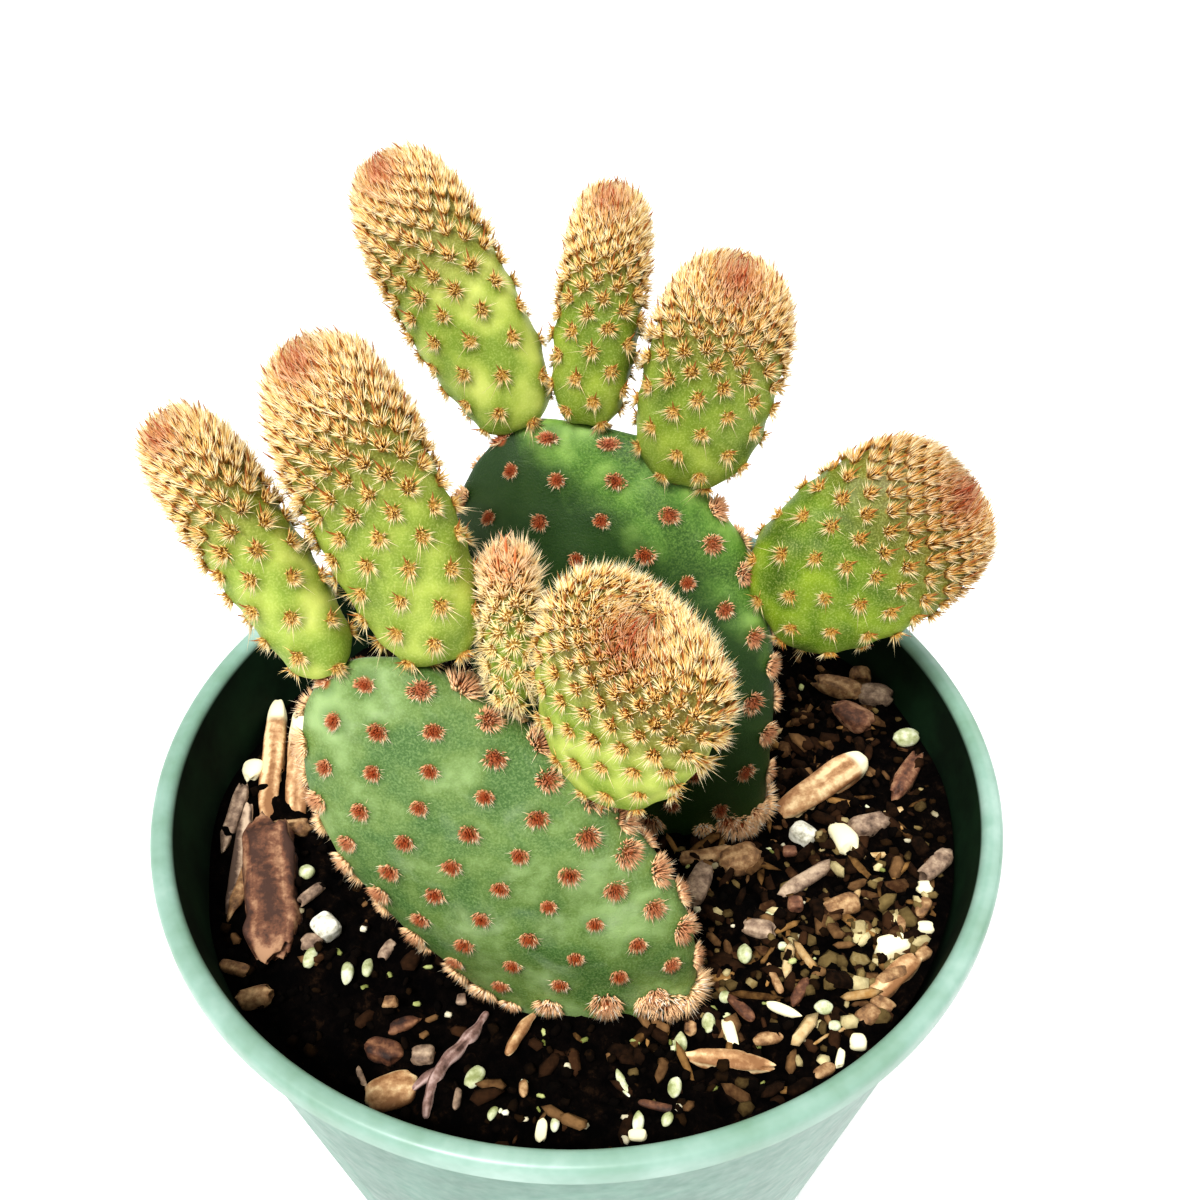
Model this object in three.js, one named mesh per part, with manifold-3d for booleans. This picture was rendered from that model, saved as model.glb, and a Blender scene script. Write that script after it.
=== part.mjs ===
// Potted cinnamon bunny ears cactus: two old pads rooted in potting mix, eight young pads grown
// on their rims, bristle tufts over every pad, and a round nursery pot.
// Millimetres, +Z up, origin at the centre of the pot's underside. -Y is the front.

import * as THREE from 'three';
import { mergeVertices } from 'three/addons/utils/BufferGeometryUtils.js';
import Module from 'manifold-3d';

const wasm = await Module();
wasm.setup();

// Pot: a round 4 inch nursery pot with a rolled lip
const POT_HEIGHT = 88;
const LIP_RADIUS = 51;
const LIP_HEIGHT = 3;
const LIP_ROUND = 0.9;
const BORE_RADIUS = 48.6;
const WALL = 1;
const FLOOR = 1.4;
const TAPER = 0.17;
const POT_SIDES = 48;
const DRAIN_HOLES = 6;
const DRAIN_RADIUS = 4;
const DRAIN_SIDES = 10;
const DRAIN_REACH = 14;

// Potting mix: the level in the middle of the pot, and how it slopes to the right and to the front
const SOIL_LEVEL = 78;
const SOIL_SLOPE = { right: 0.045, front: 0.03 };
const SOIL_BUMP = 0.8;
const SOIL_RINGS = [0.22, 0.42, 0.6, 0.77, 0.91];
const CRUMBS = { count: 18, zone: 43, half: [1, 2.1] };
const PAD_FOOT = 18;

// Clearance between pieces that touch on the real plant
const SEAT = 0.3;

// Pads: roundness of the cross-section, how far up a broad face looks, and the mesh of a pad
const SECTION_POWER = 2.3;
const FACE_LIFT = 22;
const GOLDEN_TURN = 0.381966;
const OLD_MESH = { around: 20, along: 14 };
const YOUNG_MESH = { around: 14, along: 9 };
const SMALL_MESH = { around: 10, along: 7 };

// Bristles: three-sided needles, sunk into the pad, with the part that stands out of the skin
const BRISTLE_SIDES = 3;
const BRISTLE_SINK = 1.3;
const OLD_BRISTLE = { radius: 0.8, length: 1.7, lift: 0.15, splay: 0.2 };
const YOUNG_BRISTLE = { radius: 0.5, length: 2.4, lift: 0.55, splay: 0.4 };
const BRISTLE_CLEARANCE = 0.9;

const COLOURS = {
  pot: '#8fc4ad',
  soil: '#1d150f',
  oldPad: '#4a8558',
  backPad: '#2f6b41',
  youngPad: '#9aae4c',
  furryPad: '#b99a55',
  bark: '#7d4a38',
  wood: '#c9a07a',
  twig: '#6f5148',
  perlite: '#e9ead8',
};

// Each pad runs from its root to its tip. facing is the compass angle in degrees, from +X, that its
// broad side looks towards. egg moves its widest place towards the tip, lopsided moves it up one
// side and down the other, and blunt under 1 squares its ends. crowd packs the tufts at the tip.
const PADS = [
  {
    name: 'old_pad_front', root: [7.8, -28.2, 71.7], tip: [-21.8, -16.6, 120.4], facing: -105,
    width: 29.8, thickness: 9.5, egg: 0, blunt: 1, lopsided: 0.15,
    tufts: 112, crowd: 0, mesh: OLD_MESH, bristle: OLD_BRISTLE, colour: COLOURS.oldPad,
  },
  {
    name: 'old_pad_back', root: [18.3, -3.7, 72.3], tip: [-6.5, 14, 127.1], facing: -104,
    width: 37, thickness: 9.5, egg: 0.16, blunt: 1.1, lopsided: -0.17,
    tufts: 140, crowd: 0, mesh: OLD_MESH, bristle: OLD_BRISTLE, colour: COLOURS.backPad,
  },
  {
    name: 'young_pad_left_finger', root: [-23.1, -16.5, 119.7], tip: [-35.9, -8.4, 142.6], facing: -106,
    width: 8.3, thickness: 7.6, egg: -0.02, blunt: 0.55, lopsided: 0,
    tufts: 76, crowd: 3, mesh: YOUNG_MESH, bristle: YOUNG_BRISTLE, colour: COLOURS.youngPad,
  },
  {
    name: 'young_pad_left_long', root: [-12, -16.6, 121.5], tip: [-23.2, -6.1, 148.5], facing: -103,
    width: 13, thickness: 8.3, egg: 0, blunt: 0.58, lopsided: 0,
    tufts: 98, crowd: 3, mesh: YOUNG_MESH, bristle: YOUNG_BRISTLE, colour: COLOURS.youngPad,
  },
  {
    name: 'young_pad_small_furry', root: [-5.8, -18.7, 116.8], tip: [-5.8, -13.5, 131.8], facing: -105,
    width: 4.9, thickness: 4.3, egg: 0.03, blunt: 0.55, lopsided: 0,
    tufts: 42, crowd: 1, mesh: SMALL_MESH, bristle: YOUNG_BRISTLE, colour: COLOURS.furryPad,
  },
  {
    name: 'young_pad_front_round', root: [2.4, -20.6, 109.1], tip: [7, -24.6, 133.3], facing: -127,
    width: 19.3, thickness: 10.4, egg: 0.19, blunt: 0.6, lopsided: 0,
    tufts: 108, crowd: 3, mesh: YOUNG_MESH, bristle: YOUNG_BRISTLE, colour: COLOURS.youngPad,
  },
  {
    name: 'young_pad_back_long', root: [-5.9, 14.1, 127.4], tip: [-19.5, 24.4, 152.6], facing: -102,
    width: 12.2, thickness: 8.6, egg: -0.01, blunt: 0.55, lopsided: 0,
    tufts: 92, crowd: 3, mesh: YOUNG_MESH, bristle: YOUNG_BRISTLE, colour: COLOURS.youngPad,
  },
  {
    name: 'young_pad_back_finger', root: [1.2, 12.9, 128.5], tip: [4.1, 20.8, 151], facing: -100,
    width: 8.6, thickness: 7.1, egg: -0.1, blunt: 0.55, lopsided: 0,
    tufts: 68, crowd: 3, mesh: YOUNG_MESH, bristle: YOUNG_BRISTLE, colour: COLOURS.youngPad,
  },
  {
    name: 'young_pad_back_oval', root: [11.9, 9.4, 123.5], tip: [16.8, 13.7, 146.6], facing: -93,
    width: 14, thickness: 9.7, egg: -0.04, blunt: 0.6, lopsided: 0,
    tufts: 84, crowd: 3, mesh: YOUNG_MESH, bristle: YOUNG_BRISTLE, colour: COLOURS.youngPad,
  },
  {
    name: 'young_pad_right_round', root: [21.7, 4, 108], tip: [42, 7.4, 123.9], facing: -97,
    width: 19.7, thickness: 10.7, egg: 0.09, blunt: 0.6, lopsided: 0,
    tufts: 114, crowd: 2, mesh: YOUNG_MESH, bristle: YOUNG_BRISTLE, colour: COLOURS.youngPad,
  },
];

// Loose pieces lying in the mix: place, length, width and height, compass angle of the length, and
// how far the leading end is tipped up
const CHIP_MESH = { around: 8, along: 5 };
const CHIP_POWER = 3;
const CHIP_SUNK = 0.3;
const { bark, wood, twig, perlite } = COLOURS;
const CHIPS = [
  { name: 'bark_chunk_left', at: [-37.2, -11.5], size: [19, 6, 3.6], turn: 103, tip: 5, colour: bark },
  { name: 'wood_sliver_left_tall', at: [-37.6, 8.5], size: [18, 3, 2.4], turn: 96, tip: 12, colour: wood },
  { name: 'wood_sliver_left_long', at: [-42.2, -6.5], size: [17, 1.7, 1.7], turn: 93, tip: 4, colour: wood },
  { name: 'wood_stick_right', at: [31, 2.5], size: [15, 3.8, 3.2], turn: 36, tip: 6, colour: wood },
  { name: 'wood_sliver_right', at: [35.5, -25.5], size: [8.6, 2.4, 1.8], turn: 40, tip: 4, colour: wood },
  { name: 'wood_sliver_front', at: [16.4, -35.6], size: [9, 2, 1.6], turn: -8, tip: 0, colour: wood },
  { name: 'bark_chip_front', at: [-19.4, -37.8], size: [5.4, 3.8, 1.8], turn: 27, tip: 4, colour: wood },
  { name: 'perlite_grain_right', at: [27.9, -5], size: [3.4, 2.6, 2.4], turn: -40, tip: 0, colour: perlite },
  { name: 'perlite_grain_left', at: [-29.6, -17], size: [3.4, 2.8, 2.6], turn: -48, tip: 0, colour: perlite },
];

// Dark twig that lies at the foot of the front pad: its route over the mix and its thickness
const TWIG_ROUTE = [[-10.2, -30.8], [-12.6, -34], [-14.8, -37.2], [-15.4, -41.4]];
const TWIG = { radius: 0.8, sides: 5, steps: 5 };

function seededRandom(seed) {
  let state = seed;
  return () => {
    state = (state + 0x6d2b79f5) | 0;
    let mixed = Math.imul(state ^ (state >>> 15), 1 | state);
    mixed = (mixed + Math.imul(mixed ^ (mixed >>> 7), 61 | mixed)) ^ mixed;
    return ((mixed ^ (mixed >>> 14)) >>> 0) / 4294967296;
  };
}

function solidFrom(geometry) {
  const bare = geometry.clone();
  bare.deleteAttribute('normal');
  bare.deleteAttribute('uv');
  const merged = mergeVertices(bare, 1e-4);
  const vertProperties = new Float32Array(merged.attributes.position.array);
  const triVerts = new Uint32Array(merged.index.array);
  return new wasm.Manifold(new wasm.Mesh({ numProp: 3, vertProperties, triVerts }));
}

function geometryFrom(solid) {
  const mesh = solid.getMesh();
  const geometry = new THREE.BufferGeometry();
  geometry.setAttribute('position', new THREE.BufferAttribute(mesh.vertProperties, 3));
  geometry.setIndex(new THREE.BufferAttribute(mesh.triVerts, 1));
  geometry.computeVertexNormals();
  return geometry;
}

function namedMesh(name, solid, colour, roughness) {
  const material = new THREE.MeshStandardMaterial({ color: colour, roughness, metalness: 0 });
  const mesh = new THREE.Mesh(geometryFrom(solid), material);
  mesh.name = name;
  return mesh;
}

const power = (value, exponent) => Math.sign(value) * Math.abs(value) ** exponent;

// A sphere whose every vertex is carried to place(along, around): along runs from 0 at the bottom
// pole to PI at the top pole, and around runs from 0 to 2 PI
function reshapedSphere({ around, along }, place) {
  const geometry = new THREE.SphereGeometry(1, around, along);
  geometry.rotateX(Math.PI / 2);
  const position = geometry.attributes.position;
  const point = new THREE.Vector3();
  for (let i = 0; i < position.count; i += 1) {
    point.fromBufferAttribute(position, i);
    const t = Math.acos(THREE.MathUtils.clamp(-point.z, -1, 1));
    const u = Math.atan2(point.y, point.x);
    point.copy(place(t, u));
    position.setXYZ(i, point.x, point.y, point.z);
  }
  return geometry;
}

// Pad outline from 0 at the root to 1 at its widest: a sine arch with squared ends, leaning to one end
function outline(t, blunt, egg) {
  const spread = 1 + blunt;
  const lean = Math.sqrt(blunt * blunt + 4 * egg * egg * spread);
  const widest = egg === 0 ? 0 : (blunt - lean) / (2 * egg * spread);
  const peak = (1 - widest * widest) ** (blunt / 2) * (1 - egg * widest);
  return (Math.sin(t) ** blunt * (1 - egg * Math.cos(t))) / peak;
}

// Half width and half thickness of a pad at one place along it, made bigger by grow
function padHalves(pad, t, rightSide, grow) {
  const egg = rightSide ? pad.egg + pad.lopsided : pad.egg - pad.lopsided;
  const margin = grow * Math.sin(t);
  return {
    x: (pad.width / 2) * outline(t, pad.blunt, egg) + margin,
    y: (pad.thickness / 2) * Math.sin(t) ** pad.blunt + margin,
  };
}

// Point of the pad's skin in its own frame: X across it, Y out of its broad side, Z from root to tip
function padSkin(pad, t, u, grow = 0) {
  const half = padHalves(pad, t, Math.cos(u) >= 0, grow);
  const x = half.x * power(Math.cos(u), 2 / SECTION_POWER);
  const y = half.y * power(Math.sin(u), 2 / SECTION_POWER);
  const z = (pad.length * (1 - Math.cos(t))) / 2 - grow * Math.cos(t);
  return new THREE.Vector3(x, y, z);
}

function insidePad(pad, worldPoint, margin) {
  const p = worldPoint.clone().applyMatrix4(pad.toLocal);
  if (p.z < -margin || p.z > pad.length + margin) {
    return false;
  }
  const t = Math.acos(THREE.MathUtils.clamp(1 - (2 * p.z) / pad.length, -1, 1));
  const half = padHalves(pad, t, p.x >= 0, 0);
  const acrossX = Math.abs(p.x) / (half.x + margin);
  const acrossY = Math.abs(p.y) / (half.y + margin);
  return acrossX ** SECTION_POWER + acrossY ** SECTION_POWER < 1;
}

function placePad(pad) {
  const root = new THREE.Vector3(...pad.root);
  const axis = new THREE.Vector3(...pad.tip).sub(root);
  pad.length = axis.length();
  axis.normalize();
  const turn = THREE.MathUtils.degToRad(pad.facing);
  const lift = THREE.MathUtils.degToRad(FACE_LIFT);
  const facing = new THREE.Vector3(Math.cos(turn), Math.sin(turn), Math.tan(lift)).normalize();
  const normal = facing.addScaledVector(axis, -facing.dot(axis)).normalize();
  const across = new THREE.Vector3().crossVectors(normal, axis);
  pad.toWorld = new THREE.Matrix4().makeBasis(across, normal, axis).setPosition(root);
  pad.toLocal = pad.toWorld.clone().invert();
}

function padSolid(pad, grow) {
  const geometry = reshapedSphere(pad.mesh, (t, u) => padSkin(pad, t, u, grow));
  return solidFrom(geometry.applyMatrix4(pad.toWorld));
}

// Places of the tufts: a golden-angle spiral that gives each tuft the same share of skin, with the
// shares shrinking towards the tip by crowd
function tuftSites(pad) {
  const steps = 80;
  const ring = 40;
  const total = [0];
  const girths = [];
  for (let i = 0; i <= steps; i += 1) {
    const t = 0.04 + ((Math.PI - 0.08) * i) / steps;
    const lengths = [0];
    for (let j = 1; j <= ring; j += 1) {
      const from = padSkin(pad, t, (2 * Math.PI * (j - 1)) / ring);
      lengths.push(lengths[j - 1] + from.distanceTo(padSkin(pad, t, (2 * Math.PI * j) / ring)));
    }
    girths.push({ t, lengths });
    if (i > 0) {
      const slant = padSkin(pad, t, 0).distanceTo(padSkin(pad, girths[i - 1].t, 0));
      const share = 1 + pad.crowd * ((1 - Math.cos(t)) / 2) ** 3;
      total.push(total[i - 1] + lengths[ring] * slant * share);
    }
  }
  const sites = [];
  for (let k = 0; k < pad.tufts; k += 1) {
    const wanted = (total[steps] * (k + 0.5)) / pad.tufts;
    const i = Math.min(steps, total.findIndex((sum) => sum >= wanted));
    const { t, lengths } = girths[i];
    const run = ((k * GOLDEN_TURN) % 1) * lengths[ring];
    const j = lengths.findIndex((sum) => sum > run);
    const part = (run - lengths[j - 1]) / (lengths[j] - lengths[j - 1]);
    sites.push({ t, u: (2 * Math.PI * (j - 1 + part)) / ring });
  }
  return sites;
}

function skinFrame(pad, { t, u }) {
  const step = 0.03;
  const along = padSkin(pad, t + step, u).sub(padSkin(pad, t - step, u)).normalize();
  const around = padSkin(pad, t, u + step).sub(padSkin(pad, t, u - step)).normalize();
  const normal = new THREE.Vector3().crossVectors(around, along).normalize();
  return { point: padSkin(pad, t, u), along, around, normal };
}

const soilHeight = (x, y) => {
  const bumps = Math.sin(0.26 * x + 1.3) * Math.cos(0.22 * y - 0.6);
  return SOIL_LEVEL + SOIL_SLOPE.right * x - SOIL_SLOPE.front * y + SOIL_BUMP * bumps;
};

// A needle of a tuft, left out where it would meet the mix, another pad or a needle of another pad
function needleIsClear(pad, root, end, bristleGround) {
  for (const spot of [root, end]) {
    if (spot.z < soilHeight(spot.x, spot.y) + BRISTLE_CLEARANCE) {
      return false;
    }
    if (PADS.some((other) => other !== pad && insidePad(other, spot, BRISTLE_CLEARANCE))) {
      return false;
    }
  }
  const spots = [root, root.clone().lerp(end, 0.5), end];
  const meets = (taken) => spots.some((spot) => spot.distanceTo(taken.spot) < BRISTLE_CLEARANCE);
  return !bristleGround.some((taken) => taken.pad !== pad && meets(taken));
}

function addBristles(pad, body, bristleGround, random) {
  const { radius, length, lift, splay } = pad.bristle;
  let solid = body;
  for (const site of tuftSites(pad)) {
    const { point, along, around, normal } = skinFrame(pad, site);
    const direction = normal.clone().addScaledVector(along, lift + splay * (2 * random() - 1));
    direction.addScaledVector(around, splay * (2 * random() - 1));
    const reach = length * (0.85 + 0.3 * random());
    const root = point.clone().applyMatrix4(pad.toWorld);
    const heading = direction.transformDirection(pad.toWorld);
    const end = root.clone().addScaledVector(heading, reach);
    if (needleIsClear(pad, root, end, bristleGround)) {
      for (const share of [0.1, 0.4, 0.7, 1]) {
        bristleGround.push({ pad, spot: root.clone().lerp(end, share) });
      }
      const cone = new THREE.ConeGeometry(radius, reach + BRISTLE_SINK, BRISTLE_SIDES);
      cone.translate(0, (reach + BRISTLE_SINK) / 2 - BRISTLE_SINK, 0);
      const turn = new THREE.Quaternion().setFromUnitVectors(new THREE.Vector3(0, 1, 0), heading);
      const matrix = new THREE.Matrix4().makeRotationFromQuaternion(turn).setPosition(root);
      solid = solid.add(solidFrom(cone.applyMatrix4(matrix)));
    }
  }
  return solid;
}

function buildPot() {
  const foot = BORE_RADIUS + WALL - TAPER * (POT_HEIGHT - LIP_HEIGHT);
  const cornerRound = 1;
  const profile = [
    [0, 0],
    [foot - cornerRound, 0],
    [foot, cornerRound],
    [BORE_RADIUS + WALL, POT_HEIGHT - LIP_HEIGHT],
    [LIP_RADIUS, POT_HEIGHT - LIP_HEIGHT],
    [LIP_RADIUS, POT_HEIGHT - LIP_ROUND],
    [LIP_RADIUS - LIP_ROUND, POT_HEIGHT],
    [BORE_RADIUS + LIP_ROUND / 2, POT_HEIGHT],
    [BORE_RADIUS, POT_HEIGHT - LIP_ROUND],
    [foot - WALL, FLOOR],
    [0, FLOOR],
  ];
  const lathe = new THREE.LatheGeometry(profile.map(([r, z]) => new THREE.Vector2(r, z)), POT_SIDES);
  let pot = solidFrom(lathe.rotateX(Math.PI / 2));
  for (let i = 0; i < DRAIN_HOLES; i += 1) {
    const hole = new THREE.CylinderGeometry(DRAIN_RADIUS, DRAIN_RADIUS, DRAIN_REACH, DRAIN_SIDES);
    hole.rotateX(-Math.PI / 4);
    hole.translate(0, foot, FLOOR);
    hole.rotateZ((2 * Math.PI * (i + 0.5)) / DRAIN_HOLES);
    pot = pot.subtract(solidFrom(hole));
  }
  return pot;
}

// The filling of the pot: a lathed plug whose top is raised to the height of the mix
function buildSoilPlug() {
  const topRadius = BORE_RADIUS - TAPER * (POT_HEIGHT - SOIL_LEVEL) - SEAT;
  const footRadius = BORE_RADIUS - TAPER * (POT_HEIGHT - LIP_HEIGHT) - 2 * SEAT;
  const bottom = FLOOR + SEAT;
  const profile = [new THREE.Vector2(0, bottom), new THREE.Vector2(footRadius, bottom)];
  for (const share of [1, ...[...SOIL_RINGS].reverse(), 0]) {
    profile.push(new THREE.Vector2(topRadius * share, SOIL_LEVEL));
  }
  const lathe = new THREE.LatheGeometry(profile, POT_SIDES);
  lathe.rotateX(Math.PI / 2);
  const position = lathe.attributes.position;
  for (let i = 0; i < position.count; i += 1) {
    if (position.getZ(i) > SOIL_LEVEL - 1) {
      const x = position.getX(i);
      const y = position.getY(i);
      const height = soilHeight(x, y);
      const squeeze = 1 - (TAPER * (SOIL_LEVEL - height)) / topRadius;
      position.setXYZ(i, x * squeeze, y * squeeze, height);
    }
  }
  return solidFrom(lathe);
}

// A loose chip or grain: a rounded block, with grow added all round
function chipSolid({ at, size, turn, tip }, grow) {
  const [length, width, height] = size.map((side) => side / 2 + grow);
  const geometry = reshapedSphere(CHIP_MESH, (t, u) => {
    const ring = Math.sin(t) ** (2 / CHIP_POWER);
    const across = power(Math.cos(u), 2 / CHIP_POWER) * ring;
    const deep = power(Math.sin(u), 2 / CHIP_POWER) * ring;
    return new THREE.Vector3(-length * power(Math.cos(t), 2 / CHIP_POWER), width * across, height * deep);
  });
  geometry.rotateY(THREE.MathUtils.degToRad(-tip));
  geometry.rotateZ(THREE.MathUtils.degToRad(turn));
  geometry.translate(at[0], at[1], soilHeight(...at) + size[2] * (0.5 - CHIP_SUNK));
  return solidFrom(geometry);
}

function twigSolid(grow) {
  const { radius, sides, steps } = TWIG;
  const points = TWIG_ROUTE.map(([x, y]) => new THREE.Vector3(x, y, soilHeight(x, y) + radius * 0.6));
  if (grow > 0) {
    points[0].lerp(points[1], -grow / points[0].distanceTo(points[1]));
    points[3].lerp(points[2], -grow / points[3].distanceTo(points[2]));
  }
  const section = new THREE.Shape();
  for (let i = 0; i < sides; i += 1) {
    const angle = (2 * Math.PI * i) / sides;
    const corner = [(radius + grow) * Math.cos(angle), (radius + grow) * Math.sin(angle)];
    if (i === 0) {
      section.moveTo(...corner);
    } else {
      section.lineTo(...corner);
    }
  }
  const extrudePath = new THREE.CatmullRomCurve3(points);
  return solidFrom(new THREE.ExtrudeGeometry(section, { steps, extrudePath, bevelEnabled: false }));
}

// Small lumps of bark and peat that break the surface of the mix
function addCrumbs(soil, random) {
  const taken = CHIPS.map(({ at, size }) => ({ at, reach: size[0] / 2 + 1 }));
  taken.push(...TWIG_ROUTE.map((at) => ({ at, reach: 3 })));
  taken.push({ at: PADS[0].root, reach: PAD_FOOT }, { at: PADS[1].root, reach: PAD_FOOT });
  let solid = soil;
  let placed = 0;
  while (placed < CRUMBS.count) {
    const radius = CRUMBS.zone * Math.sqrt(random());
    const angle = random() * 2 * Math.PI;
    const at = [radius * Math.cos(angle), radius * Math.sin(angle)];
    const half = THREE.MathUtils.lerp(...CRUMBS.half, random());
    const fits = (spot) => Math.hypot(at[0] - spot.at[0], at[1] - spot.at[1]) > spot.reach + 1.6 * half;
    if (taken.every(fits)) {
      const lump = new THREE.IcosahedronGeometry(half);
      lump.scale(1.5, 1, 0.8);
      lump.rotateZ(random() * Math.PI);
      lump.translate(...at, soilHeight(...at));
      solid = solid.add(solidFrom(lump));
      taken.push({ at, reach: 2 * half });
      placed += 1;
    }
  }
  return solid;
}

const group = new THREE.Group();
const random = seededRandom(41);
PADS.forEach(placePad);

group.add(namedMesh('pot', buildPot(), COLOURS.pot, 0.35));

let soil = addCrumbs(buildSoilPlug(), random);
for (const pad of PADS.slice(0, 2)) {
  soil = soil.subtract(padSolid(pad, SEAT));
}
for (const chip of CHIPS) {
  soil = soil.subtract(chipSolid(chip, SEAT));
  group.add(namedMesh(chip.name, chipSolid(chip, 0), chip.colour, 0.8));
}
soil = soil.subtract(twigSolid(SEAT));
group.add(namedMesh('twig_front', twigSolid(0), twig, 0.8));
group.add(namedMesh('soil', soil, COLOURS.soil, 0.95));

// Each pad is cut back from the pads before it, so that a young pad is seated on its parent's rim
const bristleGround = [];
PADS.forEach((pad, index) => {
  let solid = addBristles(pad, padSolid(pad, 0), bristleGround, random);
  for (const earlier of PADS.slice(0, index)) {
    solid = solid.subtract(padSolid(earlier, SEAT));
  }
  group.add(namedMesh(pad.name, solid, pad.colour, 0.6));
});

export default group;
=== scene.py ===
import math

import bpy
import numpy as np
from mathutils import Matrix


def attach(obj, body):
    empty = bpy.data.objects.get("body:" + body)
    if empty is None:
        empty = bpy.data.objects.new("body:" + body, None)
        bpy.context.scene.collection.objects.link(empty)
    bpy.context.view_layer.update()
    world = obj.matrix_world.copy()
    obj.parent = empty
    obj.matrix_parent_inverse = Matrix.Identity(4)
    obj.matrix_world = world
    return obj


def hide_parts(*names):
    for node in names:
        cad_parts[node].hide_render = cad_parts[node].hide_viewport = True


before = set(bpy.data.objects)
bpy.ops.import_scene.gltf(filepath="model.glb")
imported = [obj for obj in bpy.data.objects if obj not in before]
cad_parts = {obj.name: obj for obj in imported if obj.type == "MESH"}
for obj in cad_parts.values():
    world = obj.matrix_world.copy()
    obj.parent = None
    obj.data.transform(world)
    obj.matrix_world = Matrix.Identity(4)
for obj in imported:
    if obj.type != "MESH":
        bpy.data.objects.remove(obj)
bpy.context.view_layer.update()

# Studio
# A pale seamless table under a white sky of soft light, with a broad soft light high in front.
# The view is from arm's length, looking down on the plant as the photograph does.
MM = 0.001


def linear(colour):
    """An sRGB colour written as #rrggbb, as linear red, green, blue and 1 for alpha."""
    values = [int(colour[i : i + 2], 16) / 255 for i in (1, 3, 5)]
    return [v / 12.92 if v <= 0.04045 else ((v + 0.055) / 1.055) ** 2.4 for v in values] + [1.0]


def add_node(tree, kind, inputs=None, stops=None, **settings):
    """Adds a shader node. inputs maps a socket's name or number to a value, a #rrggbb colour, an
    output, or a node, whose Fac or else its first output in use is linked. stops are a colour
    ramp's places and colours, and settings are its properties."""
    node = tree.nodes.new("ShaderNode" + kind)
    for key, value in settings.items():
        setattr(node, key, value)
    for key, value in (inputs or {}).items():
        if isinstance(value, bpy.types.Node):
            outputs = [output for output in value.outputs if output.enabled]
            value = next((output for output in outputs if output.name == "Fac"), outputs[0])
        if isinstance(value, bpy.types.NodeSocket):
            tree.links.new(value, node.inputs[key])
        else:
            node.inputs[key].default_value = linear(value) if isinstance(value, str) else value
    if stops:
        ramp = node.color_ramp.elements
        while len(ramp) < len(stops):
            ramp.new(1.0)
        for element, (place, colour) in zip(ramp, stops):
            element.position = place
            element.color = linear(colour)
    return node


def new_material(name, **values):
    """A material with a Principled shader whose plain values are given by socket name, with _ for
    a space. Returns the material, its node tree and the shader."""
    material = bpy.data.materials.new(name)
    material.use_nodes = True
    shader = material.node_tree.nodes["Principled BSDF"]
    for key, value in values.items():
        shader.inputs[key.replace("_", " ")].default_value = value
    return material, material.node_tree, shader


def mesh_piece(name, points, faces, material, smooth=True, **values):
    """One object of points in millimetres and of a list of face arrays. values are one number for
    each point, and are kept as attributes that a material can read."""
    mesh = bpy.data.meshes.new(name)
    points = np.asarray(points, float).reshape(-1, 3) * MM
    mesh.from_pydata(points.tolist(), [], [face for group in faces for face in group.tolist()])
    mesh.polygons.foreach_set("use_smooth", np.full(len(mesh.polygons), smooth))
    for key, value in values.items():
        attribute = mesh.attributes.new(key, "FLOAT", "POINT")
        attribute.data.foreach_set("value", np.asarray(value, np.float32).ravel())
    mesh.materials.append(material)
    mesh.update()
    piece = bpy.data.objects.new(name, mesh)
    bpy.context.scene.collection.objects.link(piece)
    return piece


CAMERA_AT = (2.7, -106.6, 208.1)
CAMERA_PITCH = 41.4
LENS = 39.0
SENSOR = 36.0

camera_data = bpy.data.cameras.new("camera")
camera_data.lens = LENS
camera_data.sensor_width = SENSOR
camera_data.clip_start = 0.01
camera = bpy.data.objects.new("camera", camera_data)
camera.location = [v * MM for v in CAMERA_AT]
camera.rotation_euler = (math.radians(90 - CAMERA_PITCH), 0, 0)
bpy.context.scene.collection.objects.link(camera)
bpy.context.scene.camera = camera
bpy.context.scene.view_settings.view_transform = "Standard"
bpy.context.scene.view_settings.look = "Medium High Contrast"

SKY_STRENGTH = 0.55
world = bpy.data.worlds.new("studio")
world.use_nodes = True
world.node_tree.nodes["Background"].inputs["Color"].default_value = linear("#fffefb")
world.node_tree.nodes["Background"].inputs["Strength"].default_value = SKY_STRENGTH
bpy.context.scene.world = world

# Each light: the direction it comes from, how wide it looks in degrees, and its strength
LIGHTS = [("key_light", (-0.32, -0.55, 1.0), 20, 3.6), ("rim_light", (0.7, 0.75, 0.9), 50, 0.9)]
for name, source, spread, strength in LIGHTS:
    light_data = bpy.data.lights.new(name, "SUN")
    light_data.angle = math.radians(spread)
    light_data.energy = strength
    light = bpy.data.objects.new(name, light_data)
    toward = camera.location.copy()
    toward.xyz = [-v for v in source]
    light.rotation_euler = toward.to_track_quat("-Z", "Y").to_euler()
    bpy.context.scene.collection.objects.link(light)

# The table top: matt white laminate, which gives the photograph's plain white ground
FLOOR_SIDE = 6000
laminate, tree, shader = new_material("matt_white_laminate", Roughness=0.6)
place = add_node(tree, "TexCoord").outputs["Object"]
mottle = add_node(tree, "TexNoise", {"Vector": place, "Scale": 9.0, "Detail": 2.0})
tint = add_node(tree, "ValToRGB", {0: mottle}, stops=[(0.3, "#f7f8f8"), (0.7, "#fbfbfb")])
tree.links.new(tint.outputs[0], shader.inputs["Base Color"])
half = FLOOR_SIDE / 2
corners = np.array([[-half, -half, 0], [half, -half, 0], [half, half, 0], [-half, half, 0]])
floor = mesh_piece("floor", corners, [np.array([[0, 1, 2, 3]])], laminate, smooth=False)

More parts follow.
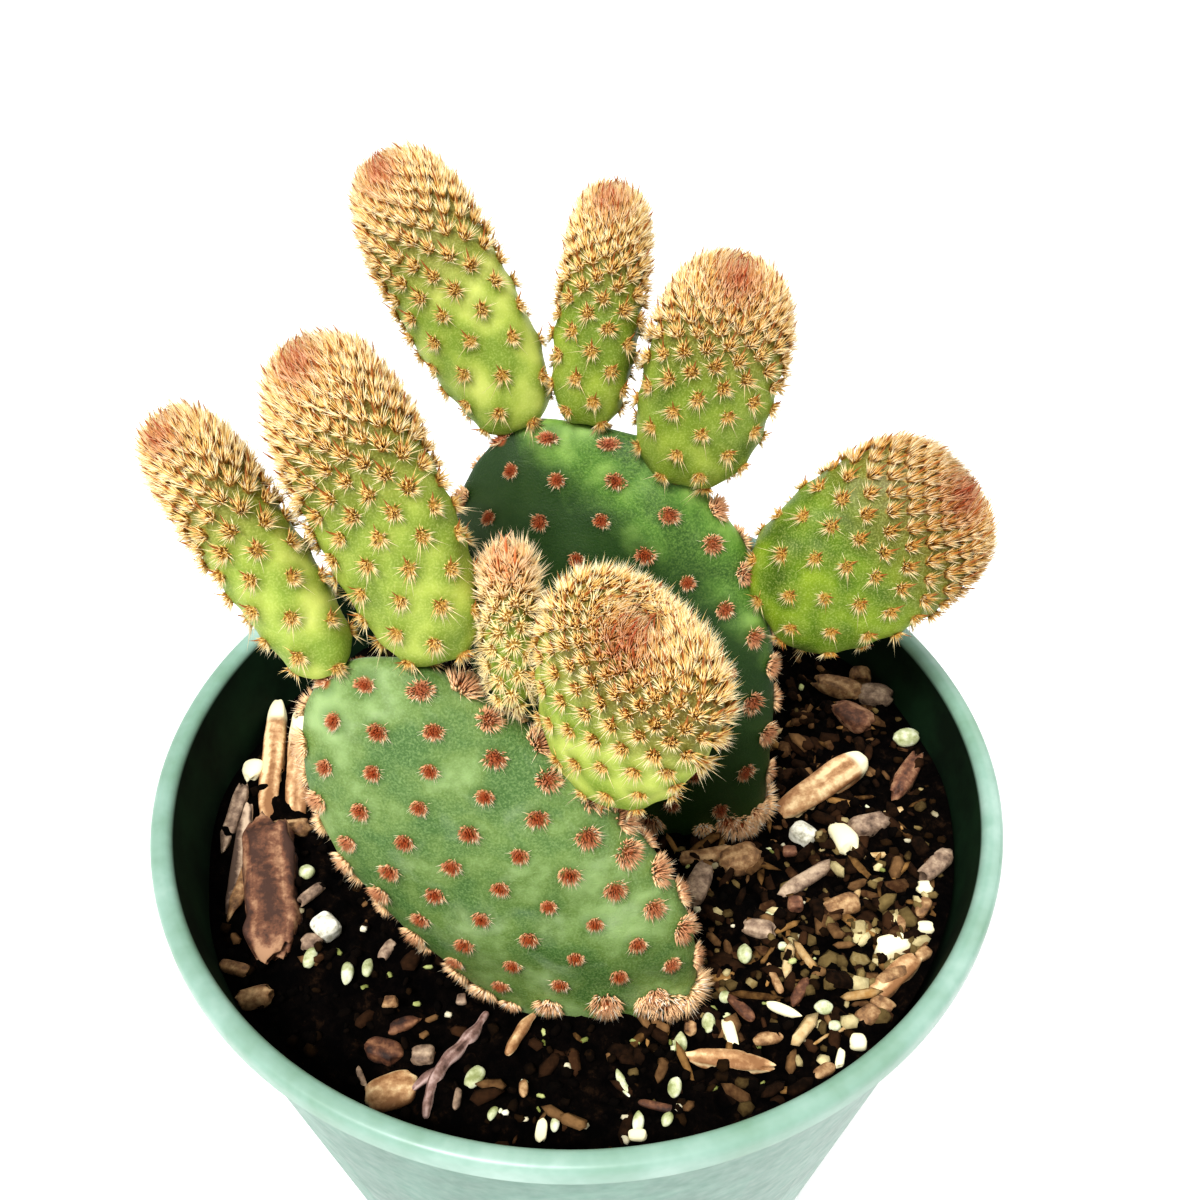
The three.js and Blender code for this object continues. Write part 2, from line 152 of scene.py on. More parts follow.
# Nursery pot
# One injection-moulded polypropylene pot, soft green, thin-walled and tapered, with a rolled lip
# that stiffens the mouth and six drain holes through the corner of its foot.
POT_HEIGHT = 88.0
LIP_RADIUS = 51.0
LIP_HEIGHT = 3.0
LIP_ROUNDING = 1.1
BORE_RADIUS = 48.6
WALL = 1.0
POT_FLOOR = 1.4
TAPER = 0.17
POT_SIDES = 240
DRAIN_HOLES = 6
DRAIN_RADIUS = 4.0
DRAIN_REACH = 14.0
DRAIN_SIDES = 32
LIP_FOOT = POT_HEIGHT - LIP_HEIGHT
FOOT_RADIUS = BORE_RADIUS + WALL - TAPER * LIP_FOOT


def round_corners(corners, steps=5):
    """A path through corners given as (radius, height, rounding): each corner with a rounding is
    cut back by it on both sides and joined by a curve of two tangents."""
    path = []
    for i, (x, y, rounding) in enumerate(corners):
        here = np.array([x, y])
        if rounding == 0:
            path.append(here)
            continue
        before = np.array(corners[i - 1][:2]) - here
        after = np.array(corners[i + 1][:2]) - here
        start = here + before / np.linalg.norm(before) * rounding
        end = here + after / np.linalg.norm(after) * rounding
        for s in np.linspace(0, 1, steps):
            path.append((1 - s) ** 2 * start + 2 * s * (1 - s) * here + s**2 * end)
    return np.array(path)


def closed_grid(grid, start_pole, end_pole):
    """Points and faces of a skin given as rows of points round it, closed by a point at each end.
    Faces look outwards where the rows run up and their points run anticlockwise seen from above."""
    rows, columns = grid.shape[:2]
    points = np.concatenate([grid.reshape(-1, 3), [start_pole], [end_pole]])
    r, c = np.meshgrid(np.arange(rows - 1), np.arange(columns), indexing="ij")
    after = (c + 1) % columns
    quads = [r * columns + c, r * columns + after, (r + 1) * columns + after, (r + 1) * columns + c]
    ring, after = np.arange(columns), (np.arange(columns) + 1) % columns
    last = (rows - 1) * columns
    start = np.stack([after, ring, np.full(columns, rows * columns)], axis=-1)
    end = np.stack([last + ring, last + after, np.full(columns, rows * columns + 1)], axis=-1)
    return points, [np.stack(quads, axis=-1).reshape(-1, 4), start, end]


def revolve(path, sides):
    """A solid of revolution about Z. The path starts and ends on the axis."""
    angle = np.linspace(0, 2 * np.pi, sides, endpoint=False)
    radius, height = path[1:-1, 0], path[1:-1, 1]
    x = radius[:, None] * np.cos(angle)
    y = radius[:, None] * np.sin(angle)
    grid = np.stack([x, y, np.broadcast_to(height[:, None], x.shape)], axis=-1)
    return closed_grid(grid, [0, 0, path[0, 1]], [0, 0, path[-1, 1]])


# Moulded polypropylene: a satin skin with fine flow mottle. The lip is paler, partly as the thick plastic
# looks and partly as painted light on its top. The wall and the bore are deeper, partly where the dark mix
# shows through the thin wall and partly as painted shade below the lip and down the bore. Rubbing leaves
# fine dull scuffs.
moulded_pot, tree, shader = new_material("moulded_green_polypropylene", Roughness=0.34, IOR=1.49)
place = add_node(tree, "TexCoord").outputs["Object"]
axes = add_node(tree, "SeparateXYZ", {0: place})
flat = add_node(tree, "CombineXYZ", {"X": axes.outputs["X"], "Y": axes.outputs["Y"]})
radius = add_node(tree, "VectorMath", {0: flat}, operation="LENGTH")
middle = add_node(
    tree,
    "MapRange",
    {
        "Value": axes.outputs["Z"],
        "From Max": LIP_FOOT * MM,
        "To Min": (FOOT_RADIUS - WALL / 2) * MM,
        "To Max": (BORE_RADIUS + WALL / 2) * MM,
    },
    clamp=False,
)
depth = add_node(tree, "Math", {0: radius, 1: middle}, operation="SUBTRACT")
outside = add_node(tree, "MapRange", {"Value": depth, "From Min": -0.2 * MM, "From Max": 0.2 * MM})
lip_start = add_node(
    tree,
    "MapRange",
    {0: outside, "To Min": (POT_HEIGHT - LIP_ROUNDING) * MM, "To Max": (LIP_FOOT + 0.1) * MM},
)
above = add_node(tree, "Math", {0: axes.outputs["Z"], 1: lip_start}, operation="SUBTRACT")
lip = add_node(tree, "MapRange", {"Value": above, "From Max": 0.5 * MM})
mottle = add_node(
    tree, "TexNoise", {"Vector": place, "Scale": 1 / (9 * MM), "Detail": 4.0, "Roughness": 0.6}
)
# Painted light makes the lip pale, and painted shade makes the wall below it deeper and the bore near
# black.
lit_lip_colour = add_node(
    tree, "ValToRGB", {0: mottle}, stops=[(0.3, "#73937f"), (0.55, "#86a597"), (0.75, "#9cb6ab")]
)
shaded_wall_colour = add_node(
    tree, "ValToRGB", {0: mottle}, stops=[(0.3, "#386654"), (0.55, "#467664"), (0.75, "#5a8975")]
)
shaded_bore_colour = add_node(tree, "ValToRGB", {0: mottle}, stops=[(0.35, "#0a180c"), (0.7, "#162e1a")])
walls = add_node(tree, "Mix", {0: outside, 6: shaded_bore_colour, 7: shaded_wall_colour}, data_type="RGBA")
colour = add_node(tree, "Mix", {0: lip, 6: walls, 7: lit_lip_colour}, data_type="RGBA")
tree.links.new(colour.outputs[2], shader.inputs["Base Color"])
scuffs = add_node(tree, "TexNoise", {"Vector": place, "Scale": 1 / (1.6 * MM), "Detail": 5.0})
gloss = add_node(tree, "MapRange", {"Value": scuffs, "To Min": 0.26, "To Max": 0.5})
dulled = add_node(tree, "Mix", {0: outside, 2: 0.85, 3: gloss}, data_type="FLOAT")
tree.links.new(dulled.outputs[0], shader.inputs["Roughness"])
shine = add_node(tree, "MapRange", {0: outside, "To Min": 0.12, "To Max": 0.5})
tree.links.new(shine.outputs[0], shader.inputs["Specular IOR Level"])
bump = add_node(tree, "Bump", {"Height": scuffs, "Strength": 0.25, "Distance": 0.05 * MM})
tree.links.new(bump.outputs[0], shader.inputs["Normal"])

pot_path = round_corners(
    [
        (0, 0, 0),
        (FOOT_RADIUS, 0, 1.0),
        (BORE_RADIUS + WALL, LIP_FOOT, 0.3),
        (LIP_RADIUS, LIP_FOOT, 0.6),
        (LIP_RADIUS, POT_HEIGHT, LIP_ROUNDING),
        (BORE_RADIUS, POT_HEIGHT, 1.0),
        (FOOT_RADIUS - WALL, POT_FLOOR, 1.6),
        (0, POT_FLOOR, 0),
    ]
)
pot = mesh_piece("nursery_pot", *revolve(pot_path, POT_SIDES), moulded_pot)
end = DRAIN_REACH / 2
cutter_path = np.array([(0, -end), (DRAIN_RADIUS, -end), (DRAIN_RADIUS, end), (0, end)])
cutter_points, cutter_faces = revolve(cutter_path, DRAIN_SIDES)
cutters = []
for i in range(DRAIN_HOLES):
    turn = 2 * math.pi * (i + 0.5) / DRAIN_HOLES + math.pi / 2
    out, up = np.array([math.cos(turn), math.sin(turn), 0]), np.array([0, 0, 1])
    axis = (out - up) / math.sqrt(2)
    side = np.cross(up, out)
    basis = np.stack([side, np.cross(axis, side), axis])
    at = FOOT_RADIUS * out + POT_FLOOR * up
    cutters.append(mesh_piece(f"drain_cutter_{i}", cutter_points @ basis + at, cutter_faces, moulded_pot))
for cutter in cutters:
    cut = pot.modifiers.new("drain", "BOOLEAN")
    cut.object = cutter
    cut.solver = "EXACT"
bpy.context.view_layer.update()
drilled = bpy.data.meshes.new_from_object(pot.evaluated_get(bpy.context.evaluated_depsgraph_get()))
pot.modifiers.clear()
pot.data = drilled
for cutter in cutters:
    bpy.data.objects.remove(cutter)
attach(pot, "root")
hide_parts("pot")

# Potting mix
# Dark moist peat with fine bark in it, filled by hand to a centimetre below the lip and settled
# into crumbs and hollows by watering.
SOIL_LEVEL = 78.0
SOIL_SLOPE = (0.045, 0.03)
SOIL_BUMP = 0.8
SOIL_SEAT = 0.3
WALL_FADE = 1.5
SOIL_RINGS = 96
SOIL_SIDES = 280
MOUTH = BORE_RADIUS - TAPER * (POT_HEIGHT - SOIL_LEVEL) - SOIL_SEAT


def unit(vectors):
    """Vectors brought to length 1."""
    return vectors / np.linalg.norm(vectors, axis=-1, keepdims=True)


def ripple(points, size, seed, waves=14):
    """Smooth uneven relief of about -1 to 1: sine waves about size long in seeded directions."""
    draw = np.random.default_rng(seed)
    directions = unit(draw.normal(size=(waves, points.shape[-1])))
    turns = 2 * math.pi * directions / (size * draw.uniform(0.7, 1.4, (waves, 1)))
    return np.sin(points @ turns.T + draw.uniform(0, 2 * math.pi, waves)).sum(axis=-1) / waves**0.5


def soil_height(x, y):
    """Height of the mix: a plane that rises to the right and to the front, with long low waves."""
    waves = np.sin(0.26 * x + 1.3) * np.cos(0.22 * y - 0.6)
    return SOIL_LEVEL + SOIL_SLOPE[0] * x - SOIL_SLOPE[1] * y + SOIL_BUMP * waves


def soil_relief(x, y):
    """Crumbs on the mix, in lumps of 7, 3 and 1.4 mm, which fade out against the pot's wall."""
    points = np.stack([x, y], axis=-1)
    lumps = 0.5 * ripple(points, 7, 21) + 0.4 * ripple(points, 3, 22) + 0.2 * ripple(points, 1.4, 23)
    return lumps * np.clip((MOUTH - np.hypot(x, y)) / WALL_FADE, 0, 1)


# Moist peat: almost black, with browner crumbs about 2 mm across standing out of it
moist_peat, tree, shader = new_material("moist_peat", Roughness=1.0, IOR=1.4, Specular_IOR_Level=0.08)
place = add_node(tree, "TexCoord").outputs["Object"]
clods = add_node(
    tree, "TexNoise", {"Vector": place, "Scale": 1 / (2.2 * MM), "Detail": 6.0, "Roughness": 0.7}
)
peat_colour = add_node(
    tree, "ValToRGB", {0: clods}, stops=[(0.42, "#020101"), (0.58, "#0c0705"), (0.72, "#2b1d12")]
)
tree.links.new(peat_colour.outputs[0], shader.inputs["Base Color"])
bump = add_node(tree, "Bump", {"Height": clods, "Strength": 0.9, "Distance": 0.8 * MM})
tree.links.new(bump.outputs[0], shader.inputs["Normal"])

angle = np.linspace(0, 2 * math.pi, SOIL_SIDES, endpoint=False)
rings = MOUTH * np.linspace(1, 0, SOIL_RINGS, endpoint=False)[:, None]
x, y = rings * np.cos(angle), rings * np.sin(angle)
top = np.stack([x, y, soil_height(x, y) + soil_relief(x, y)], axis=-1)
base_ring = (FOOT_RADIUS - WALL - SOIL_SEAT) * np.stack([np.cos(angle), np.sin(angle)], axis=-1)
base_level = POT_FLOOR + SOIL_SEAT
base = np.concatenate([base_ring, np.full((SOIL_SIDES, 1), base_level)], axis=1)
summit = float(soil_height(0.0, 0.0) + soil_relief(np.array(0.0), np.array(0.0)))
soil = mesh_piece(
    "potting_mix_filling",
    *closed_grid(np.concatenate([base[None], top]), [0, 0, base_level], [0, 0, summit]),
    moist_peat,
)
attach(soil, "root")
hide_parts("soil")

# Old pads
# Last year's growth: two flat fleshy stem segments rooted in the mix, with blue-green leathery skin
# under a bloom of grainy wax. The skin is slightly raised under each bristle tuft.
SECTION_POWER = 2.3
FACE_LIFT = 22.0
GOLDEN_TURN = 0.381966
SWELL_LENGTH = 14
# root and tip are the ends of a pad, facing is where its broad side looks, in degrees, and the
# last three shape its outline
PAD_SIZES = ("root", "tip", "facing", "width", "thickness", "egg", "blunt", "lopsided")
TUFT_SIZES = ("tufts", "crowd", "rim", "bare", "bare_side")
PADS = {}


def place_pad(name, sizes, tufts):
    """A pad's sizes with its own frame: X across it, Y out of its broad side, Z from root to tip."""
    pad = dict(zip(PAD_SIZES, sizes), name=name, **dict(zip(TUFT_SIZES, tufts)))
    root, tip = np.array(pad["root"], float), np.array(pad["tip"], float)
    turn, lift = math.radians(pad["facing"]), math.radians(FACE_LIFT)
    facing = np.array([math.cos(turn), math.sin(turn), math.tan(lift)])
    axis = unit(tip - root)
    normal = unit(facing - axis * (facing @ axis))
    pad.update(origin=root, length=np.linalg.norm(tip - root))
    pad["basis"] = np.stack([np.cross(normal, axis), normal, axis])
    PADS[name] = pad


def outline(t, blunt, egg):
    """Half width of a pad from 0 at its ends to 1 at its widest: a sine arch raised to the power
    blunt, which squares its ends, and leaning towards one end by egg."""
    spread = 1 + blunt
    lean = np.sqrt(blunt * blunt + 4 * egg * egg * spread)
    widest = (blunt - lean) / (2 * egg * spread) if egg else 0
    peak = (1 - widest * widest) ** (blunt / 2) * (1 - egg * widest)
    return np.sin(t) ** blunt * (1 - egg * np.cos(t)) / peak


def half_sizes(pad, t, one_side):
    """Half width and half thickness of a pad at the angle t along it, 0 at the root and pi at the
    tip. The two sides of a lopsided pad are widest at different heights."""
    full = outline(t, pad["blunt"], pad["egg"] + pad["lopsided"])
    other = outline(t, pad["blunt"], pad["egg"] - pad["lopsided"])
    half_width = pad["width"] / 2 * np.where(one_side, full, other)
    return half_width, pad["thickness"] / 2 * np.sin(t) ** pad["blunt"]


def power(value, exponent):
    """A power that keeps the sign."""
    return np.sign(value) * np.abs(value) ** exponent


def pad_skin(pad, t, u):
    """Points of the skin at the angles t along the pad and u round it: a superellipse section
    whose half sizes follow half_sizes, set up along the pad's own axes."""
    half_width, half_thickness = half_sizes(pad, t, np.cos(u) >= 0)
    x = half_width * power(np.cos(u), 2 / SECTION_POWER)
    y = half_thickness * power(np.sin(u), 2 / SECTION_POWER)
    z = pad["length"] * (1 - np.cos(t)) / 2
    return np.stack(np.broadcast_arrays(x, y, z), axis=-1) @ pad["basis"] + pad["origin"]


def inside_pad(pad, points, margin):
    """True for each point that lies in the pad or within about margin of it."""
    x, y, z = np.moveaxis((points - pad["origin"]) @ pad["basis"].T, -1, 0)
    t = np.arccos(np.clip(1 - 2 * z / pad["length"], -1, 1))
    half_width, half_thickness = half_sizes(pad, t, x >= 0)
    section = (np.abs(x) / (half_width + margin)) ** SECTION_POWER
    section = section + (np.abs(y) / (half_thickness + margin)) ** SECTION_POWER
    return (section < 1) & (z > -margin) & (z < pad["length"] + margin)


def skin_frames(pad, t, u):
    """Points of the skin with the unit directions out of it, along it to the tip and round it."""
    step = 0.02
    along = unit(pad_skin(pad, t + step, u) - pad_skin(pad, t - step, u))
    around = unit(pad_skin(pad, t, u + step) - pad_skin(pad, t, u - step))
    return pad_skin(pad, t, u), unit(np.cross(around, along)), along, around


def tuft_sites(pad):
    """Angles t and u of the tufts, with the spacing there. They wind up the pad by the golden
    angle, as they grow, and share the skin out evenly, but stand closer together to the tip by
    crowd and along the thin rim by rim, and wider apart on one side by bare."""
    t = np.linspace(0.05, math.pi - 0.05, 400)
    u = np.linspace(0, 2 * math.pi, 241)
    grid = pad_skin(pad, t[:, None], u[None, :])
    steps = np.linalg.norm(np.diff(grid, axis=1), axis=2)
    steps = steps * (1 + pad["rim"] * np.abs(np.cos((u[1:] + u[:-1]) / 2)) ** 6)
    around = np.concatenate([np.zeros((len(t), 1)), np.cumsum(steps, axis=1)], axis=1)
    rise = np.linalg.norm(np.diff(grid, axis=0), axis=2).mean(axis=1)
    share = 1 + pad["crowd"] * ((1 - np.cos(t)) / 2) ** 4
    area = np.concatenate([[0], np.cumsum(rise * around[:-1, -1] * share[:-1])])
    k = np.arange(pad["tufts"])
    site_t = np.interp((k + 0.5) / len(k), area / area[-1], t)
    row = around[np.searchsorted(t, site_t).clip(0, len(t) - 1)]
    turn = k * GOLDEN_TURN % 1
    swing = pad["bare"] * np.cos(site_t / 2) / (2 * math.pi)
    turn = (turn + swing * np.sin(2 * math.pi * (turn - pad["bare_side"]))) % 1
    run = turn * row[:, -1]
    column = (row <= run[:, None]).sum(axis=1) - 1
    part = (run - row[k, column]) / (row[k, column + 1] - row[k, column])
    spacing = np.sqrt(area[-1] / len(k) / np.interp(site_t, t, share))
    return site_t, 2 * math.pi * (column + part) / (len(u) - 1), spacing


def skin_swell(pad, points):
    """How far the low swellings of the skin, about 14 mm long, stand out at points on it."""
    return pad["swell"] * ripple(points, SWELL_LENGTH, 3)


def skin_piece(pad, rows, columns, material, slot_name, pad_shade=0.0):
    """The pad's skin: its formula on a grid, raised by low swellings and by a soft cushion under
    each tuft, which is a bell a third as wide as the spacing of the tufts there. sunny grows up the
    pad and towards its right, and falls round to its back."""
    t = np.linspace(0, math.pi, rows + 2)[1:-1, None]
    u = np.linspace(0, 2 * math.pi, columns, endpoint=False)[None, :]
    t, u = np.broadcast_arrays(t, u)
    grid, out, _, _ = skin_frames(pad, t.clip(0.03, math.pi - 0.03), u)
    site_t, site_u, spacing = pad["sites"]
    raised = skin_swell(pad, grid)
    nearest = np.full(grid.shape[:2], 9.0)
    for centre, space in zip(pad_skin(pad, site_t, site_u), spacing):
        away = np.linalg.norm(grid - centre, axis=-1)
        raised = raised + pad["cushion"] * np.exp(-((away / (0.33 * space)) ** 2))
        nearest = np.minimum(nearest, away)
    grid = grid + out * raised[..., None]
    ends = [pad_skin(pad, np.array(angle), np.array(0.0)) for angle in (0.0, math.pi)]
    near = np.append(nearest.ravel(), [3.0, 1.0])
    height = np.append(((1 - np.cos(t)) / 2).ravel(), [0, 1])
    points, faces = closed_grid(grid, *ends)
    # sunny measures where the old pads' material paints shade: the lower it is, the more painted shade.
    shaded_side = 0.7 * np.cos(u) - 0.6 * np.clip(-np.sin(u), 0, 1)
    sunny = 1.2 * height - np.append(shaded_side.ravel(), [0, 0])
    # The last value is each young pad's own share of painted shade, 0 on the old pads.
    values = {"near_tuft": near, "up_pad": height, "sunny": sunny, "pad_shade": np.full(len(points), pad_shade)}
    skin = mesh_piece(pad["name"] + "_skin", points, faces, material, **values)
    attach(skin, "root")
    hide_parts(pad["name"])


def waxed_skin_material(name, dark, middle, pale, wax, sunless, shade):
    """Old cactus skin: mottled green in patches of 7 mm, speckled by wax grains of 0.24 mm, with smears of
    pale bloom and a felted rust spot under each tuft. Matt, and broken up by a bump of the same grains.
    The skin just round each tuft is darkened as painted shade. Below its shoulder, and more so on its
    left, where it gets little sun, it is tinted with the sunless green as painted shade, by up to shade."""
    material, tree, shader = new_material(name, Roughness=0.55, IOR=1.45)
    shader.inputs["Subsurface Weight"].default_value = 0.1
    shader.inputs["Subsurface Radius"].default_value = (0.6, 1.0, 0.3)
    shader.inputs["Subsurface Scale"].default_value = 1.2 * MM
    place = add_node(tree, "TexCoord").outputs["Object"]
    patches = add_node(
        tree, "TexNoise", {"Vector": place, "Scale": 1 / (7 * MM), "Detail": 3.0, "Roughness": 0.55}
    )
    base = add_node(tree, "ValToRGB", {0: patches}, stops=[(0.38, dark), (0.52, middle), (0.68, pale)])
    grains = add_node(
        tree, "TexNoise", {"Vector": place, "Scale": 1 / (0.24 * MM), "Detail": 3.0, "Roughness": 0.6}
    )
    speckle = add_node(
        tree, "MapRange", {"Value": grains, "From Min": 0.42, "From Max": 0.7, "To Max": 0.5}
    )
    speckled = add_node(tree, "Mix", {0: speckle, 6: base, 7: pale}, data_type="RGBA")
    bloom = add_node(
        tree, "TexNoise", {"Vector": place, "Scale": 1 / (5 * MM), "Detail": 5.0, "Distortion": 0.6}
    )
    smear = add_node(
        tree, "MapRange", {"Value": bloom, "From Min": 0.54, "From Max": 0.8, "To Max": 0.2}
    )
    waxed = add_node(tree, "Mix", {0: smear, 6: speckled, 7: wax}, data_type="RGBA")
    near = add_node(tree, "Attribute", attribute_name="near_tuft")
    # Painted shade: the skin darkens in a ring just round each tuft.
    ring = add_node(
        tree,
        "MapRange",
        {"Value": near, "From Min": 0.9, "From Max": 1.9, "To Min": 0.5, "To Max": 0.0},
    )
    ringed = add_node(tree, "Mix", {0: ring, 6: waxed, 7: dark}, data_type="RGBA")
    # Painted shade: where sunny is low, the skin is tinted with the sunless green, by up to shade.
    sunny = add_node(tree, "Attribute", attribute_name="sunny")
    uneven = add_node(tree, "Math", {0: bloom, 1: 0.3, 2: sunny}, operation="MULTIPLY_ADD")
    below = add_node(
        tree, "MapRange", {"Value": uneven, "From Min": 1.48, "From Max": 1.28, "To Max": shade}
    )
    toned = add_node(tree, "Mix", {0: below, 6: ringed, 7: sunless}, data_type="RGBA")
    cushion = add_node(
        tree,
        "MapRange",
        {"Value": near, "From Min": 0.5, "From Max": 0.9, "To Min": 0.9, "To Max": 0.0},
    )
    felted = add_node(tree, "Mix", {0: cushion, 6: toned, 7: "#9c4a20"}, data_type="RGBA")
    tree.links.new(felted.outputs[2], shader.inputs["Base Color"])
    bump = add_node(tree, "Bump", {"Height": grains, "Strength": 0.8, "Distance": 0.12 * MM})
    tree.links.new(bump.outputs[0], shader.inputs["Normal"])
    return material


# Dark, middle, pale, wax and sunless greens, and how far the sunless one paints shade on the skin
FRONT_GREENS = ("#44662e", "#627c3c", "#90aa6e", "#c6d6ba", "#3c5822", 0.0)
BACK_GREENS = ("#2e5212", "#4c7424", "#84a650", "#a4be80", "#143404", 0.92)
# Each pad: its record slot, its skin, its row of PAD_SIZES and its row of TUFT_SIZES
OLD_PADS = {
    "old_pad_front": (
        "old_pad_skin",
        waxed_skin_material("waxed_cactus_skin", *FRONT_GREENS),
        ((7.8, -28.2, 71.7), (-21.8, -16.6, 120.4), -105, 29.8, 9.5, 0, 1, 0.15),
        (140, 0, 0.9, 0, 0),
    ),
    "old_pad_back": (
        "old_pad_shaded_skin",
        waxed_skin_material("shaded_waxed_cactus_skin", *BACK_GREENS),
        ((18.3, -3.7, 72.3), (-6.5, 14, 127.1), -104, 37, 9.5, 0.16, 1.1, -0.17),
        (140, 0, 0.9, 0, 0),
    ),
}
FOOT_TUFTS = 18
FOOT_SPACING = 2.5
OLD_PAD_GRID = (110, 170)


def foot_sites(pad):
    """Angles t and u of the tufts that ring the pad unevenly where it comes out of the mix."""
    draw = np.random.default_rng(30)
    t = np.linspace(0.05, 2.0, 300)[:, None]
    u = 2 * math.pi * (np.arange(FOOT_TUFTS) + draw.uniform(0.15, 0.85, FOOT_TUFTS)) / FOOT_TUFTS
    points = pad_skin(pad, t, u)
    above = points[..., 2] - soil_height(points[..., 0], points[..., 1])
    return t[(above > draw.uniform(0.9, 2.6, FOOT_TUFTS)).argmax(axis=0), 0], u


for name, (slot_name, material, sizes, tufts) in OLD_PADS.items():
    place_pad(name, sizes, tufts)
    site_t, site_u, spacing = tuft_sites(PADS[name])
    foot_t, foot_u = foot_sites(PADS[name])
    rooted = site_t < np.interp(site_u, foot_u, foot_t) + 0.06
    site_t, site_u, spacing = site_t[~rooted], site_u[~rooted], spacing[~rooted]
    spacing = np.append(spacing, np.full(FOOT_TUFTS, FOOT_SPACING))
    sites = [np.append(site_t, foot_t), np.append(site_u, foot_u), spacing]
    PADS[name].update(sites=sites, swell=0.25, cushion=0.2)
    skin_piece(PADS[name], *OLD_PAD_GRID, material, slot_name)

# Young pads
# This spring's shoots from the rims of the old ones: juicy yellow-green skin, raised in a soft cushion
# under each tuft, with painted shade close round each tuft and between the crowded ones at the tip.
fresh_skin, tree, shader = new_material("fresh_cactus_skin", Roughness=0.5, IOR=1.45)
shader.inputs["Specular IOR Level"].default_value = 0.35
shader.inputs["Subsurface Weight"].default_value = 0.2
shader.inputs["Subsurface Radius"].default_value = (0.9, 1.2, 0.3)
shader.inputs["Subsurface Scale"].default_value = 1.5 * MM
place = add_node(tree, "TexCoord").outputs["Object"]
patches = add_node(tree, "TexNoise", {"Vector": place, "Scale": 1 / (6 * MM), "Detail": 2.0})
fresh = add_node(
    tree, "ValToRGB", {0: patches}, stops=[(0.36, "#7e9636"), (0.5, "#aebd58"), (0.64, "#d0d878")]
)
deep = add_node(
    tree, "ValToRGB", {0: patches}, stops=[(0.36, "#3c5608"), (0.5, "#58740e"), (0.64, "#7e951e")]
)
# Painted shade: each young pad is tinted towards the deep green by its own share.
pad_shade = add_node(tree, "Attribute", attribute_name="pad_shade")
pad_shaded = add_node(tree, "Mix", {0: pad_shade, 6: fresh, 7: deep}, data_type="RGBA")
# Painted shade: the skin is darker close round each tuft.
near = add_node(tree, "Attribute", attribute_name="near_tuft")
between = add_node(tree, "MapRange", {"Value": near, "From Min": 0.6, "From Max": 1.9, "To Min": 0.2})
shaded = add_node(tree, "Mix", {0: between, 6: "#6c8024", 7: pad_shaded}, data_type="RGBA")
# Painted shade: the crown, where the tufts crowd, is darker.
height = add_node(tree, "Attribute", attribute_name="up_pad")
crown = add_node(tree, "MapRange", {"Value": height, "From Min": 0.5, "From Max": 0.8})
crown_shaded = add_node(tree, "Mix", {0: crown, 6: shaded, 7: "#665c22"}, data_type="RGBA")
grains = add_node(tree, "TexNoise", {"Vector": place, "Scale": 1 / (0.2 * MM), "Detail": 2.0})
speckle = add_node(
    tree, "MapRange", {"Value": grains, "From Min": 0.45, "From Max": 0.75, "To Max": 0.25}
)
flecked = add_node(tree, "Mix", {0: speckle, 6: crown_shaded, 7: "#d9e08e"}, data_type="RGBA")
cushion = add_node(
    tree, "MapRange", {"Value": near, "From Min": 0.4, "From Max": 0.7, "To Min": 0.8, "To Max": 0.0}
)
felted = add_node(tree, "Mix", {0: cushion, 6: flecked, 7: "#c09044"}, data_type="RGBA")
tree.links.new(felted.outputs[2], shader.inputs["Base Color"])
bump = add_node(tree, "Bump", {"Height": grains, "Strength": 0.35, "Distance": 0.06 * MM})
tree.links.new(bump.outputs[0], shader.inputs["Normal"])

# Each pad: its row of PAD_SIZES and its row of TUFT_SIZES
YOUNG_PADS = {
    "young_pad_left_finger": (
        ((-23.1, -16.5, 119.7), (-35.9, -8.4, 142.6), -106, 8.3, 7.6, -0.02, 0.55, 0),
        (170, 11, 0, 0.5, 0.42),
    ),
    "young_pad_left_long": (
        ((-12, -16.6, 121.5), (-23.2, -6.1, 148.5), -103, 13, 8.3, 0, 0.58, 0),
        (250, 11, 0, 0.2, 0.3),
    ),
    "young_pad_small_furry": (
        ((-5.8, -18.7, 116.8), (-5.8, -13.5, 131.8), -105, 4.9, 4.3, 0.03, 0.55, 0),
        (78, 2, 0, 0, 0),
    ),
    "young_pad_front_round": (
        ((2.4, -20.6, 109.1), (7, -24.6, 133.3), -127, 19.3, 10.4, 0.19, 0.6, 0),
        (205, 9, 0, 0, 0),
    ),
    "young_pad_back_long": (
        ((-5.9, 14.1, 127.4), (-19.5, 24.4, 152.6), -102, 12.2, 8.6, -0.01, 0.55, 0),
        (230, 11, 0, 0.55, 0.42),
    ),
    "young_pad_back_finger": (
        ((1.2, 12.9, 128.5), (4.1, 20.8, 151), -100, 8.6, 7.1, -0.1, 0.55, 0),
        (155, 11, 0, 0, 0),
    ),
    "young_pad_back_oval": (
        ((11.9, 9.4, 123.5), (16.8, 13.7, 146.6), -93, 14, 9.7, -0.04, 0.6, 0),
        (200, 12, 0, 0, 0),
    ),
    "young_pad_right_round": (
        ((21.7, 4, 108), (42, 7.4, 123.9), -97, 19.7, 10.7, 0.09, 0.6, 0),
        (230, 11, 0, 0, 0),
    ),
}
YOUNG_PAD_GRID = (60, 88)
FURRY = "young_pad_small_furry"
